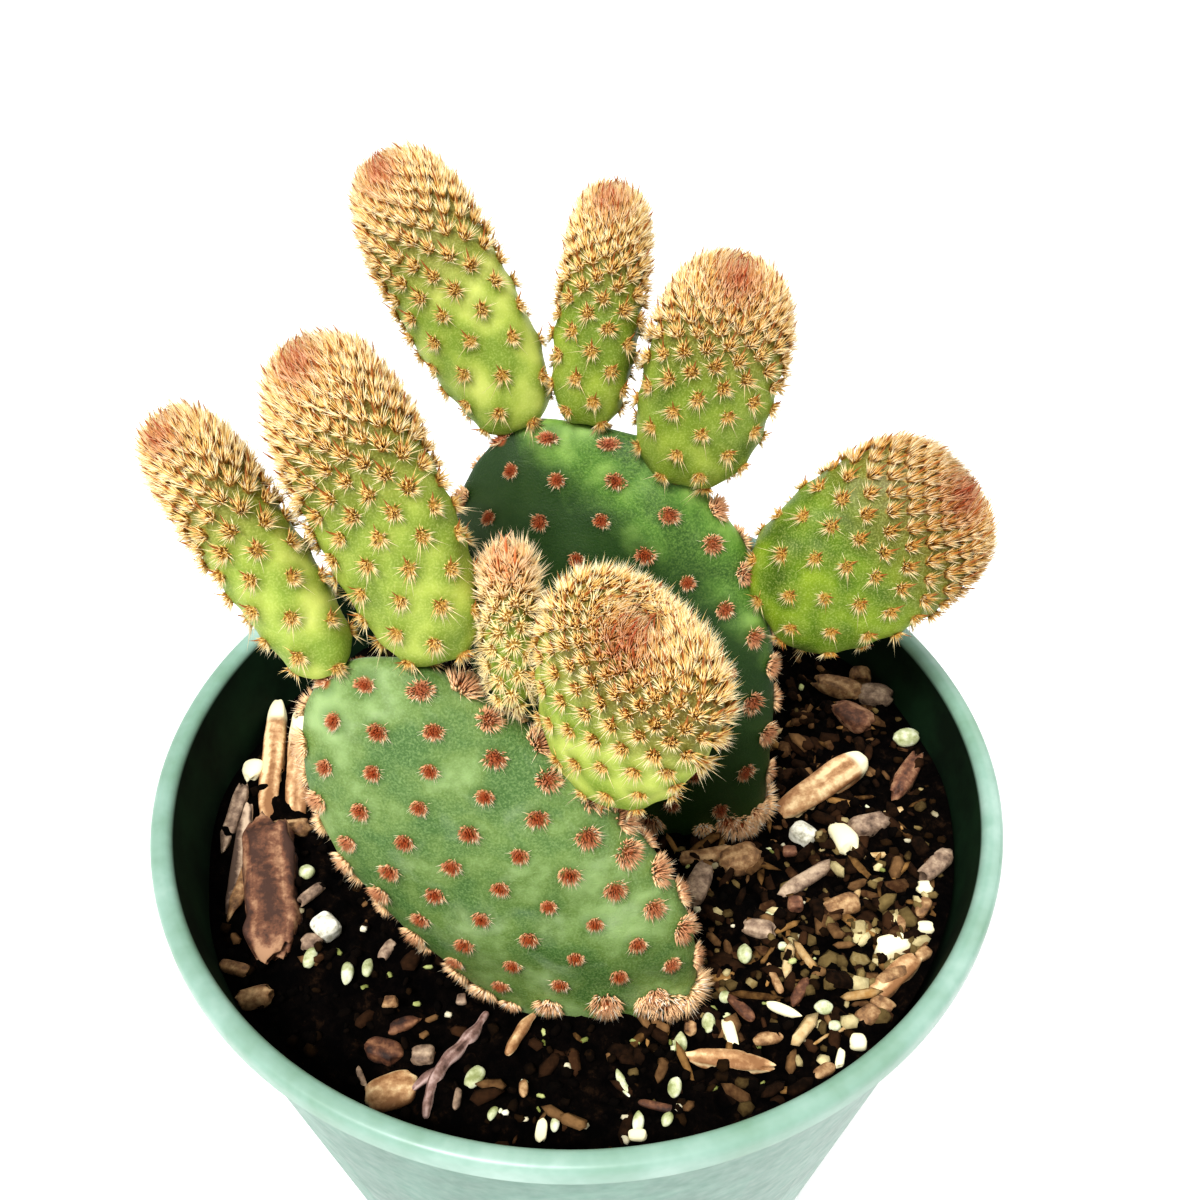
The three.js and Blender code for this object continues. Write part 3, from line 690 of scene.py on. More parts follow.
# How far each pad's skin is tinted from the fresh to the deep green as painted shade, in the order of
# YOUNG_PADS
PAD_SHADE = (0.0, 0.6, 0.8, 0.0, 0.15, 0.8, 0.75, 1.0)
for pad_shade, (name, (sizes, tufts)) in zip(PAD_SHADE, YOUNG_PADS.items()):
    place_pad(name, sizes, tufts)
    PADS[name].update(sites=tuft_sites(PADS[name]), swell=0.12, cushion=0.35)
    PADS[name]["slot"] = "furry_pad_skin" if name == FURRY else "young_pad_skin"
    skin_piece(PADS[name], *YOUNG_PAD_GRID, fresh_skin, PADS[name]["slot"], pad_shade)

# Tufts of the old pads
# Each tuft is a velvet disc of short barbed bristles, dark rust in the middle and cinnamon at its
# edge, with a fringe of straw-coloured hairs that hang below it. They meet along the thin rim.


def clear_sites(pad, margin):
    """Angles and frames, on the raised skin, of the tufts that stand clear of the mix and of the
    other pads."""
    site_t, site_u, _ = pad["sites"]
    points, out, along, around = skin_frames(pad, site_t, site_u)
    points = points + (skin_swell(pad, points) + pad["cushion"])[:, None] * out
    keep = points[:, 2] > soil_height(points[:, 0], points[:, 1]) + margin
    for other in PADS.values():
        if other is not pad:
            keep &= ~inside_pad(other, points, margin)
    return [values[keep] for values in (site_t, site_u, points, out, along, around)]


def bristles(name, material, roots, headings, lengths, thick, curl, tone, sides=3, rings=1):
    """One piece of many tapered bristles of few sides, each closed by a flat foot and a point. A
    bristle's middle line is root + heading * length * s + curl * s squared, with s from 0 to 1,
    and its thickness falls as the square root of 1 - s. along keeps s, and tone its own shade."""
    shape = lengths.shape
    roots, headings = np.broadcast_to(roots, shape + (3,)), np.broadcast_to(headings, shape + (3,))
    curl = np.broadcast_to(curl, shape + (3,)).reshape(-1, 3)
    thick, tone = np.broadcast_to(thick, shape).ravel(), np.broadcast_to(tone, shape).ravel()
    roots, headings, lengths = roots.reshape(-1, 3), headings.reshape(-1, 3), lengths.ravel()
    s = np.arange(rings) / rings
    angle = 2 * math.pi * np.arange(sides) / sides
    upright = np.abs(headings[:, 2:]) < 0.9
    aside = unit(np.cross(headings, np.where(upright, [0, 0, 1], [1, 0, 0])))
    circle = aside[:, None] * np.cos(angle)[:, None]
    circle = circle + np.cross(headings, aside)[:, None] * np.sin(angle)[:, None]
    middle = roots[:, None] + headings[:, None] * (lengths[:, None] * s)[..., None]
    middle = middle + curl[:, None] * (s**2)[None, :, None]
    body = middle[:, :, None] + (thick[:, None] / 2 * np.sqrt(1 - s))[..., None, None] * circle[:, None]
    tips = roots + headings * lengths[:, None] + curl
    points = np.concatenate([body.reshape(len(roots), -1, 3), tips[:, None]], axis=1)
    ring, after = np.arange(sides), (np.arange(sides) + 1) % sides
    last = (rings - 1) * sides
    pattern = [np.stack([np.zeros(sides - 2, int), ring[2:], ring[1:-1]], axis=-1)]
    pattern.append(np.stack([last + ring, last + after, np.full(sides, rings * sides)], axis=-1))
    for low in range(0, last, sides):
        pattern.append(np.stack([low + ring, low + after, low + sides + after], axis=-1))
        pattern.append(np.stack([low + ring, low + sides + after, low + sides + ring], axis=-1))
    pattern = np.concatenate(pattern)
    starts = points.shape[1] * np.arange(len(roots))
    faces = (pattern[None] + starts[:, None, None]).reshape(-1, 3)
    along = np.tile(np.append(np.repeat(s, sides), 1.0), len(roots))
    piece = mesh_piece(
        name, points, [faces], material, along=along, tone=np.repeat(tone.clip(0, 1), points.shape[1])
    )
    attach(piece, "root")


def bristle_material(name, foot, middle, tip, pale):
    """Barbed hairs of dry plant fibre: the colour runs from foot to tip, and each hair lies
    between that and the pale shade by its own tone. Slightly glossy, as straw is."""
    material, tree, shader = new_material(name, Roughness=0.5, IOR=1.5)
    shader.inputs["Specular IOR Level"].default_value = 0.3
    along = add_node(tree, "Attribute", attribute_name="along")
    tone = add_node(tree, "Attribute", attribute_name="tone")
    run = add_node(tree, "ValToRGB", {0: along}, stops=[(0.0, foot), (0.45, middle), (1.0, tip)])
    mixed = add_node(tree, "Mix", {0: tone, 6: run, 7: pale}, data_type="RGBA")
    tree.links.new(mixed.outputs[2], shader.inputs["Base Color"])
    return material


def fan(draw, frames, each, middle, spread):
    """Seeded directions in the skin round each tuft, about the angle middle from the around
    direction, spread by a normal draw."""
    angle = middle + spread * draw.normal(size=(len(frames[2]), each))
    _, _, _, _, along, around = frames
    return np.cos(angle)[..., None] * around[:, None] + np.sin(angle)[..., None] * along[:, None]


velvet_bristle = bristle_material("cinnamon_velvet_bristle", "#4e1c08", "#983f14", "#b85c26", "#ffd6a6")
fringe_bristle = bristle_material("straw_fringe_bristle", "#dca062", "#f6d8a4", "#fff2d4", "#fffaf0")
VELVET_BRISTLES = 120
FRINGE_BRISTLES = 38
LARGEST_TUFT = 2.1
for seed, name in enumerate(OLD_PADS):
    pad, slot_name = PADS[name], OLD_PADS[name][0]
    draw = np.random.default_rng(40 + seed)
    frames = clear_sites(pad, 0.6)
    _, site_u, point, out, along, around = frames
    count = len(point)
    # Tufts on the rim and near the mix are larger and paler: those near the mix are more bleached, and
    # those on the rim are paler on the left than on the right
    on_rim = np.abs(np.cos(site_u))[:, None] ** 6
    low = np.exp(-(((point[:, 2] - soil_height(point[:, 0], point[:, 1]) - 1) / 2.5) ** 2))[:, None]
    rim_paling = on_rim * np.where(np.cos(site_u)[:, None] > 0, 0.85, 0.4)
    bleached = low * draw.uniform(0.4, 1.0, (count, 1))
    large = 1 + draw.uniform(0.3, 0.8, (count, 1)) * on_rim + draw.uniform(0, 1.3, (count, 1)) * low
    size = draw.uniform(0.75, 1.0, (count, 1)) * np.minimum(large, LARGEST_TUFT)

    # Velvet: bristles rooted all over the disc, which lean out and pale towards its edge
    spin = draw.uniform(0, 2 * math.pi, (count, VELVET_BRISTLES))
    reach = np.sqrt(draw.uniform(0, 1, spin.shape))
    sideways = np.cos(spin)[..., None] * around[:, None] + np.sin(spin)[..., None] * along[:, None]
    roots = point[:, None] + (0.95 * size * reach)[..., None] * sideways - 0.2 * out[:, None]
    headings = out[:, None] + ((0.55 + 0.7 * on_rim + 0.6 * low) * reach)[..., None] * sideways
    bristles(
        name + "_tufts",
        velvet_bristle,
        roots,
        unit(headings + 0.12 * draw.normal(size=roots.shape)),
        (0.95 - 0.35 * reach + 0.25 * draw.uniform(size=reach.shape)) * size * (1 + 0.1 * on_rim),
        0.2 + 0.08 * on_rim + 0.08 * bleached,
        0.0,
        0.9 * reach**2.5 * draw.uniform(0.2, 1, reach.shape) + rim_paling + 1.2 * bleached,
    )

    # Fringe: hairs from the edge of the disc, mostly downwards
    sideways = fan(draw, frames, FRINGE_BRISTLES, -math.pi / 2, 1.1 + 1.8 * low + 0.8 * on_rim)
    roots = point[:, None] + (0.8 * size * draw.uniform(0.6, 1, sideways.shape[:2]))[..., None] * sideways
    rise = draw.uniform(0.3, 1.3, sideways.shape[:2] + (1,)) + 1.2 * bleached[..., None]
    headings = rise * out[:, None] + sideways + 0.25 * draw.normal(size=roots.shape)
    bristles(
        name + "_fringe",
        fringe_bristle,
        roots - 0.2 * out[:, None],
        unit(headings),
        draw.uniform(0.5, 1.5, rise.shape[:2]) * size * (1 - 0.25 * low),
        0.12 + 0.18 * bleached,
        0.0,
        draw.uniform(0, 0.4, rise.shape[:2]) + 0.8 * bleached,
    )

# Tufts of the young pads
# Golden bristles fan out of each cushion over a little cream wool, beside a small hooked leaf with
# a dark tip. They close up into fur at the crown, and the newest ones at the tip are rusty pink.
golden_bristle = bristle_material("golden_bristle", "#b07430", "#eabe6c", "#fce8a8", "#a85430")
# Painted shade: a darker copy of the golden bristle, for the crown of the right round pad, which lies in
# shade.
shaded_golden_bristle = bristle_material("shaded_golden_bristle", "#885822", "#d6a24c", "#f8dc94", "#9c4420")
furry_bristle = bristle_material("straw_fur_bristle", "#e8b860", "#fee8a4", "#fff6cc", "#c8602e")
woolly_hair = bristle_material("cream_woolly_hair", "#ecc684", "#fce8b4", "#fff6d6", "#cc7850")
hooked_leaf = bristle_material("hooked_leaf", "#dcae60", "#a4642a", "#7c3e18", "#a04c2c")
BRISTLES = {FURRY: furry_bristle, "young_pad_right_round": shaded_golden_bristle}
GLOCHIDS = 42
FURRY_GLOCHIDS = 46
WOOL_HAIRS = 25
LONG_HAIR = 2.3
# How far the fur at each young pad's crown turns russet, in the order of YOUNG_PADS
RUSSET = (0.0, 0.05, 0.0, 0.0, 0.05, 0.0, 0.08, 0.1)
for seed, (name, russet) in enumerate(zip(YOUNG_PADS, RUSSET)):
    pad = PADS[name]
    draw = np.random.default_rng(100 + seed)
    frames = clear_sites(pad, 0.4)
    site_t, _, point, out, along, around = frames
    # crown grows from 0 to 1 up the pad, and apex marks the rusty spot of the newest growth
    up = (1 - np.cos(site_t)) / 2
    crown = np.interp(up, [0.4, 0.8], [0, 1])[:, None]
    furry = name == FURRY
    rust = 2.8 if furry else 1.1 + 0.08 * pad["width"]
    newest = np.array(pad["tip"]) + [0, 0.3 * pad["thickness"], -1] @ pad["basis"]
    apex = np.exp(-((np.linalg.norm(point - newest, axis=1) / rust) ** 2))[:, None]
    size = draw.uniform(0.85, 1.15, (len(point), 1)) * (1.3 if furry else 1.15)

    # Bristles: a brush that fans out of each cushion, mostly upwards, with a few longer ones
    sideways = fan(draw, frames, FURRY_GLOCHIDS if furry else GLOCHIDS, math.pi / 2, 2.2)
    reach = draw.uniform(size=sideways.shape[:2] + (1,)) ** 0.8
    chance = draw.uniform(size=reach.shape[:2])
    headings = out[:, None] + (1.3 if furry else 0.9 - 0.4 * crown[..., None]) * reach * sideways
    untidy = (0.34 - 0.19 * crown)[..., None] * draw.normal(size=headings.shape)
    lengths = np.where(chance > 0.96, 1.35, 0.45 + 0.45 * chance)
    bristles(
        name + "_glochids",
        BRISTLES.get(name, golden_bristle),
        point[:, None] + 0.6 * reach * sideways - 0.15 * out[:, None],
        unit(headings + crown[..., None] * along[:, None] + untidy),
        lengths * size * (1 + (0.3 if furry else 0.65) * crown),
        0.18 if furry else 0.15 + 0.01 * crown,
        0.0,
        (0.55 if furry else 0.8) * apex
        + ((0.05 if furry else 0.25) * draw.uniform(size=chance.shape) ** 3 + russet) * crown
        + 0.06 * chance,
    )

    # Wool: fine pale hairs below the brush
    sideways = fan(draw, frames, WOOL_HAIRS, -math.pi / 2, 1.0)
    lean = draw.uniform(0.5, 1.8, sideways.shape[:2] + (1,)) * (1 - 0.5 * crown[..., None])
    headings = out[:, None] + lean * sideways + 1.1 * crown[..., None] * along[:, None]
    long_hair = draw.uniform(size=lean.shape[:2]) < 0.06 * (1 - crown)
    hair = draw.uniform(0.7, 1.4, long_hair.shape)
    bristles(
        name + "_wool",
        woolly_hair,
        point[:, None] + 0.4 * sideways - 0.15 * out[:, None],
        unit(headings),
        np.where(long_hair, LONG_HAIR, hair * (1 + 0.4 * crown)) * size,
        0.11,
        0.0,
        (0.4 if furry else 0.7) * apex + russet * crown + 0.1 * draw.uniform(size=long_hair.shape),
    )

    # Leaf: one small hook above each brush
    headings = out + (0.5 + 0.5 * crown) * along + 0.2 * draw.normal(size=point.shape)
    bristles(
        name + "_leaves",
        furry_bristle if furry else hooked_leaf,
        point - 0.2 * out + 0.3 * along,
        unit(headings),
        draw.uniform(0.8, 1.2, up.shape) * (1 + 0.7 * crown[:, 0]),
        0.28 + 0.08 * crown[:, 0],
        0.6 * along + 0.1 * draw.normal(size=point.shape),
        apex[:, 0],
        sides=4,
        rings=3,
    )

# Loose pieces on the mix
# Bark and split wood milled for potting mix, a twig, a rootlet and expanded perlite. They lie where
# they fell when the pot was filled, sunk a little into the peat.
CHIP_SUNK = 0.3
CUT_EDGE = 0.06
UNCUT = 2


def chip_skin(at, size, turn, tip, rows=40, columns=44, fray=0.0, seed=0, lift=0.0, block=3.4):
    """A milled chip: a rounded block, which is a superellipsoid of the power block, with long
    grooves along its grain, uneven ends and low lumps. Returns a closed grid, with the groove depth
    from 0 to 1 and the place along its length from 0 to 1 for each point."""
    length, width, height = [s / 2 for s in size]
    t = np.linspace(0, math.pi, rows + 2)[:, None]
    u = np.linspace(0, 2 * math.pi, columns, endpoint=False)[None, :]
    t, u = np.broadcast_arrays(t, u)
    ring = np.sin(t) ** (2 / block)
    across, deep = power(np.cos(u), 2 / block) * ring, power(np.sin(u), 2 / block) * ring
    x = -length * power(np.cos(t), 2 / block)
    section = np.stack([across * width, deep * height, 0.06 * x], axis=-1)
    groove = ripple(section, 1.1, seed) / 3 + 0.5
    lumps = ripple(np.stack([across * width, deep * height, x], axis=-1), 5.0, seed + 1)
    shrink = 1 - 0.25 * (groove - 0.5) + (0.03 + 0.2 * fray) * lumps
    frayed = x * (1 + fray * (groove - 0.6) * np.abs(x / length) ** 3)
    grid = np.stack([frayed, width * across * shrink, height * deep * shrink], axis=-1)
    nod, yaw = math.radians(tip), math.radians(turn)
    tilt = np.array([[math.cos(nod), 0, math.sin(nod)], [0, 1, 0], [-math.sin(nod), 0, math.cos(nod)]])
    spin = np.array([[math.cos(yaw), math.sin(yaw), 0], [-math.sin(yaw), math.cos(yaw), 0], [0, 0, 1]])
    level = soil_height(*at) + lift + size[2] * (0.5 - CHIP_SUNK)
    grid = grid @ tilt @ spin + np.array([at[0], at[1], level])
    place = (1 - np.cos(t)) / 2
    points, faces = closed_grid(grid[1:-1], grid[0, 0], grid[-1, 0])
    ends = [[groove[0, 0], 0], [groove[-1, 0], 1]]
    values = np.concatenate([np.stack([groove[1:-1].ravel(), place[1:-1].ravel()], axis=1), ends])
    return points, faces, values


def wood_material(name, dark, middle, pale, cut_end):
    """Split softwood or bark: fibres run along it in streaks, and it is lighter on raised fibres
    and where an end was freshly cut."""
    material, tree, shader = new_material(name, Roughness=0.75, IOR=1.5)
    place = add_node(tree, "TexCoord").outputs["Object"]
    groove = add_node(tree, "Attribute", attribute_name="groove")
    stains = add_node(
        tree, "TexNoise", {"Vector": place, "Scale": 1 / (1.1 * MM), "Detail": 5.0, "Roughness": 0.65}
    )
    blend = add_node(tree, "Mix", {0: 0.6, 2: groove, 3: stains}, data_type="FLOAT")
    streaks = add_node(tree, "ValToRGB", {0: blend}, stops=[(0.38, dark), (0.5, middle), (0.64, pale)])
    fresh = add_node(tree, "Attribute", attribute_name="fresh")
    colour = add_node(tree, "Mix", {0: fresh, 6: streaks, 7: cut_end}, data_type="RGBA")
    tree.links.new(colour.outputs[2], shader.inputs["Base Color"])
    bump = add_node(tree, "Bump", {"Height": blend, "Strength": 0.6, "Distance": 0.25 * MM})
    tree.links.new(bump.outputs[0], shader.inputs["Normal"])
    return material


def grain_material(name, dark, middle, pale, size):
    """Grit and perlite: an uneven crumbly grain whose pits are size millimetres across."""
    material, tree, shader = new_material(name, Roughness=0.8, IOR=1.5)
    place = add_node(tree, "TexCoord").outputs["Object"]
    pits = add_node(
        tree, "TexNoise", {"Vector": place, "Scale": 1 / (size * MM), "Detail": 4.0, "Roughness": 0.6}
    )
    colour = add_node(tree, "ValToRGB", {0: pits}, stops=[(0.35, dark), (0.5, middle), (0.68, pale)])
    tree.links.new(colour.outputs[0], shader.inputs["Base Color"])
    bump = add_node(tree, "Bump", {"Height": pits, "Strength": 0.6, "Distance": 0.2 * MM})
    tree.links.new(bump.outputs[0], shader.inputs["Normal"])
    return material


red_bark = wood_material("pine_bark", "#442a1e", "#724a34", "#ac8464", "#b88a72")
split_wood = wood_material("split_softwood", "#8e643e", "#ba9066", "#e8cc9e", "#f8f0c8")
stained_wood = wood_material("peat_stained_softwood", "#4e3420", "#8e6a46", "#caa87c", "#d8bc90")
grey_wood = wood_material("weathered_softwood", "#4c3a2e", "#8a7360", "#c4ac92", "#e8dccb")
perlite = grain_material("expanded_perlite", "#a8a48e", "#dedbca", "#f8f6ea", 0.9)

# The chips with a node of their own: place, size, turn, tip, record slot, material, fraying of the
# ends, and where along the length a freshly cut cream end starts, from 0 to 1
CHIPS = {
    "bark_chunk_left": ((-37.2, -11.5), (19, 6, 3.6), 103, 5, "bark", red_bark, 0.3, UNCUT),
    "wood_sliver_left_tall": ((-37.6, 8.5), (18, 3, 2.4), 96, 12, "split_wood", split_wood, 0.3, 0.66),
    "wood_sliver_left_long": ((-42.2, -6.5), (17, 1.7, 1.7), 93, 4, "split_wood", grey_wood, 0.2, UNCUT),
    "wood_stick_right": ((31, 2.5), (15, 3.8, 3.2), 36, 6, "split_wood", split_wood, 0.0, 0.76),
    "wood_sliver_right": ((35.5, -25.5), (8.6, 2.4, 1.8), 40, 4, "split_wood", split_wood, 0.4, UNCUT),
    "wood_sliver_front": ((16.4, -35.6), (9, 2, 1.6), -8, 0, "split_wood", split_wood, 0.4, UNCUT),
    "bark_chip_front": ((-19.4, -37.8), (5.4, 3.8, 1.8), 27, 4, "split_wood", split_wood, 0.3, UNCUT),
    "perlite_grain_right": ((27.9, -5), (3.4, 2.6, 2.4), -40, 0, "perlite", perlite, 0.1, UNCUT),
    "perlite_grain_left": ((-29.6, -17), (3.4, 2.8, 2.6), -48, 0, "perlite", perlite, 0.1, UNCUT),
}
for seed, (name, chip_values) in enumerate(CHIPS.items()):
    at, size, turn, tip, slot_name, material, fray, fresh_from = chip_values
    block = 5.0 if slot_name == "bark" else 3.4
    points, faces, values = chip_skin(at, size, turn, tip, fray=fray, seed=200 + seed, block=block)
    fresh = np.clip((values[:, 1] - fresh_from) / CUT_EDGE, 0, 1)
    chip = mesh_piece(name + "_piece", points, faces, material, groove=values[:, 0], fresh=fresh)
    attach(chip, "root")
    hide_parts(name)

# One more split stick, which stands a little off the wall at the left
points, faces, values = chip_skin((-41.2, 10.0), (20, 2.8, 2.4), 95, 8, fray=0.1, seed=240)
fresh = np.clip((values[:, 1] - 0.72) / CUT_EDGE, 0, 1)
stick = mesh_piece("wall_stick_left", points, faces, split_wood, groove=values[:, 0], fresh=fresh)
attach(stick, "root")

# A forked twig and a fine rootlet, round in section, which lie on the mix at the front
TWIG_ROUTE = [(-9.8, -28.6), (-12.4, -33.2), (-14.6, -36.8), (-15.2, -41.4)]
FORK_ROUTE = [(-14.0, -35.8), (-15.4, -36.6), (-17.0, -38.0)]
ROOTLET_ROUTE = [(-4.4, -29.6), (-5.6, -31.0), (-6.4, -32.6), (-7.3, -34.4)]


def strand_skin(route, radius, lift, knobs, seed, rows=70, columns=16):
    """A tube along the polynomial curve through the route's points, whose radius swells and
    shrinks by knobs and falls to nothing at its ends as a sine arch to the power 0.4."""
    s = np.linspace(0, math.pi, rows + 2)[1:-1]
    place = (1 - np.cos(s)) / 2
    knots = np.linspace(0, 1, len(route))
    x, y = [np.polyval(np.polyfit(knots, axis, len(route) - 1), place) for axis in np.array(route).T]
    path = np.stack([x, y, soil_height(x, y) + lift], axis=-1)
    tangent = unit(np.gradient(path, axis=0))
    side = unit(np.cross([0, 0, 1], tangent))
    up = np.cross(tangent, side)
    u = np.linspace(0, 2 * math.pi, columns, endpoint=False)
    ring = np.cos(u)[:, None] * side[:, None] + np.sin(u)[:, None] * up[:, None]
    knobbly = 1 + knobs * ripple(path[:, None] + 0.5 * ring, 3.0, seed)
    grid = path[:, None] + (radius * np.sin(s) ** 0.4)[:, None, None] * knobbly[..., None] * ring
    groove = np.append(ripple(ring * [2, 2, 2] + 0.1 * path[:, None], 1.5, seed + 1) / 3 + 0.5, [0.5, 0.5])
    points, faces = closed_grid(grid, path[0] - 0.1 * tangent[0], path[-1] + 0.1 * tangent[-1])
    return points, faces, groove


twig_bark = wood_material("thin_twig_bark", "#4a322c", "#86685f", "#c0a49c", "#d8c4b8")
points, faces, groove = strand_skin(TWIG_ROUTE, 0.7, 0.5, 0.2, 260)
twig = mesh_piece("twig_front_piece", points, faces, twig_bark, groove=groove, fresh=0 * groove)
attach(twig, "root")
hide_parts("twig_front")
for name, route, radius, material in [
    ("twig_fork", FORK_ROUTE, 0.45, twig_bark),
    ("rootlet_front", ROOTLET_ROUTE, 0.65, split_wood),
]:
    points, faces, groove = strand_skin(route, radius, radius + 0.1, 0.15, 262, 40, 10)
    strand = mesh_piece(name, points, faces, material, groove=groove, fresh=0 * groove)
    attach(strand, "root")

# Bits large enough to be seen one by one, as they lie: kind, place, length, width and turn
dark_bark = wood_material("dark_bark", "#2a160e", "#5c3824", "#94694a", "#a8845f")
seed_husk = grain_material("dry_seed_husk", "#8a905c", "#bcc196", "#e6e8d4", 1.6)
# Each kind: its record slot, its material, and 1 where the wood is freshly cut
BIT_KINDS = {
    "tan": ("split_wood", stained_wood, 0),
    "cream": ("split_wood", split_wood, 1),
    "grey": ("split_wood", grey_wood, 0),
    "red": ("bark", red_bark, 0),
    "brown": ("bark", dark_bark, 0),
    "seed": ("potting_mix", seed_husk, 0),
}
BITS = [
    ("tan", -40.8, -9.5, 11.0, 1.6, 82),
    ("tan", 35.7, 20.1, 7.4, 2.8, -25),
    ("grey", 40.4, 18.6, 4.9, 3.1, -11),
    ("red", 36.8, 14.5, 5.6, 3.4, -43),
    ("seed", 43.2, 10.3, 3.6, 2.7, 12),
    ("red", 42.3, 4.5, 8.2, 2.5, 57),
    ("grey", 42.8, -10.9, 5.7, 2.4, 43),
    ("cream", 32.5, -6.0, 4.5, 3.2, -75),
    ("grey", 36.0, -4.1, 5.3, 2.9, 18),
    ("grey", 27.5, -11.5, 8.1, 2.0, 35),
    ("tan", 31.1, -15.9, 4.9, 2.3, 12),
    ("grey", 21.0, -19.0, 3.7, 2.1, -13),
    ("seed", 19.2, -22.2, 2.4, 1.6, 85),
    ("cream", 16.8, -32.3, 4.2, 1.4, -78),
    ("seed", 14.5, -30.9, 2.4, 1.4, 86),
    ("seed", 11.4, -33.3, 2.4, 1.5, 87),
    ("seed", 27.1, -29.6, 2.0, 1.7, 1),
    ("cream", 22.6, -30.0, 3.4, 1.0, -26),
    ("tan", 33.6, -29.0, 2.7, 1.8, -30),
    ("cream", 30.3, -33.7, 1.9, 1.7, -3),
    ("cream", 28.2, -35.2, 2.4, 0.9, 73),
    ("tan", 26.3, -36.6, 2.6, 1.3, 27),
    ("grey", 14.4, -12.8, 6.0, 2.8, 70),
    ("tan", 19.6, -8.6, 5.2, 3.6, 23),
    ("tan", 15.6, -8.3, 7.5, 2.1, 8),
    ("red", 26.0, -7.2, 1.9, 1.8, -3),
    ("red", 25.7, -15.4, 2.0, 1.9, 87),
    ("brown", 24.7, -27.7, 3.7, 1.2, 57),
    ("tan", 22.2, -25.9, 4.3, 0.9, -74),
    ("cream", 36.1, -21.5, 4.1, 2.8, 20),
    ("tan", 37.2, -19.0, 3.0, 1.6, 73),
    ("tan", 40.4, -16.6, 3.1, 1.4, 56),
    ("cream", 40.2, -19.2, 2.0, 1.6, -3),
    ("cream", 41.0, -13.9, 1.8, 1.8, -1),
    ("tan", 39.4, -22.4, 2.2, 1.3, 37),
    ("tan", 35.4, -25.4, 4.3, 1.5, 25),
    ("tan", 31.8, -30.5, 3.2, 2.0, 32),
    ("seed", 28.0, -31.8, 1.5, 1.2, 0),
    ("tan", 20.7, -33.2, 3.3, 1.4, 10),
    ("brown", 18.1, -28.9, 4.0, 1.3, -50),
    ("seed", 16.6, -27.4, 1.5, 1.4, -7),
    ("brown", -20.7, -33.3, 4.4, 2.5, -21),
    ("grey", -16.3, -34.3, 2.6, 2.4, -3),
    ("seed", -10.5, -37.0, 2.9, 1.7, 57),
    ("grey", -12.1, -39.7, 2.6, 0.9, 85),
    ("grey", -22.7, -36.3, 3.2, 0.7, -64),
    ("brown", -19.0, -30.4, 3.6, 1.5, 24),
    ("tan", -20.4, -28.5, 1.8, 1.5, 2),
    ("seed", -23.7, -23.4, 2.5, 1.4, -90),
    ("seed", -26.1, -23.7, 3.3, 1.4, -85),
    ("seed", -30.7, -21.5, 2.9, 1.6, 81),
    ("grey", -30.9, -19.3, 2.6, 2.4, -3),
    ("tan", -36.4, -26.0, 4.1, 2.7, 13),
    ("cream", -3.3, -42.6, 2.4, 1.4, 83),
    ("seed", -1.9, -42.0, 1.8, 0.9, 82),
    ("seed", -8.3, -41.3, 1.6, 1.1, 64),
    ("tan", -5.3, -38.3, 1.8, 1.1, -87),
    ("seed", 5.1, -37.5, 3.2, 1.1, -68),
    ("seed", 10.5, -38.7, 2.5, 1.4, 78),
    ("seed", 6.6, -42.1, 2.4, 1.3, 84),
    ("seed", 9.6, -42.1, 1.6, 1.2, 58),
    ("cream", 6.5, -43.4, 2.0, 1.1, -5),
    ("brown", 8.9, -40.6, 5.2, 0.8, -15),
    ("tan", -36.6, -1.9, 5.1, 2.6, -1),
    ("grey", -44.3, 0.8, 10.5, 1.9, 87),
    ("cream", -43.6, 8.4, 3.3, 2.6, -90),
    ("seed", -33.3, -9.3, 2.2, 1.9, -88),
    ("grey", -32.0, -12.9, 3.9, 1.5, 47),
    ("brown", -35.5, -15.2, 1.7, 1.7, 88),
    ("grey", -21.9, -20.6, 2.8, 1.5, 63),
    ("tan", -39.4, -22.2, 3.8, 1.6, -18),
    ("grey", -12.8, -27.0, 1.3, 1.3, 2),
    ("tan", 12.5, -31.7, 1.5, 1.3, 89),
    ("seed", 23.4, -22.0, 1.2, 1.1, 85),
    ("seed", 22.6, -16.9, 1.6, 1.4, -90),
    ("tan", 39.2, 22.7, 3.1, 2.8, 87),
]
for kind, (slot_name, material, freshness) in BIT_KINDS.items():
    skins, start = [], 0
    for seed, (bit_kind, x, y, length, width, turn) in enumerate(BITS):
        if bit_kind == kind:
            size = (length, width, 0.75 * width)
            lift = max(float(soil_relief(np.array(x), np.array(y))), 0) + 0.15
            block, fray = (2.0, 0.4) if kind == "seed" else (3.2, 0.55)
            skin = chip_skin((x, y), size, turn, 3, 12, 16, fray, 300 + 3 * seed, lift, block)
            skins.append((skin[0], [group + start for group in skin[1]], 0.3 + 0.4 * skin[2][:, 0]))
            start += len(skin[0])
    points = np.concatenate([skin[0] for skin in skins])
    groove = np.concatenate([skin[2] for skin in skins])
    groups = [group for skin in skins for group in skin[1]]
    fresh = np.full(len(points), freshness)
    bits = mesh_piece(f"mix_{kind}_bits", points, groups, material, groove=groove, fresh=fresh)
    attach(bits, "root")

# Fine bits on the mix
# Peat crumbs, bark flakes, wood splinters, grit, perlite and seed husks of 1 to 6 mm lie all over
# the mix. The pale ones were washed to the right, where they lie thickest, and thin out leftwards.
STRANDS = np.concatenate([TWIG_ROUTE, FORK_ROUTE, ROOTLET_ROUTE])


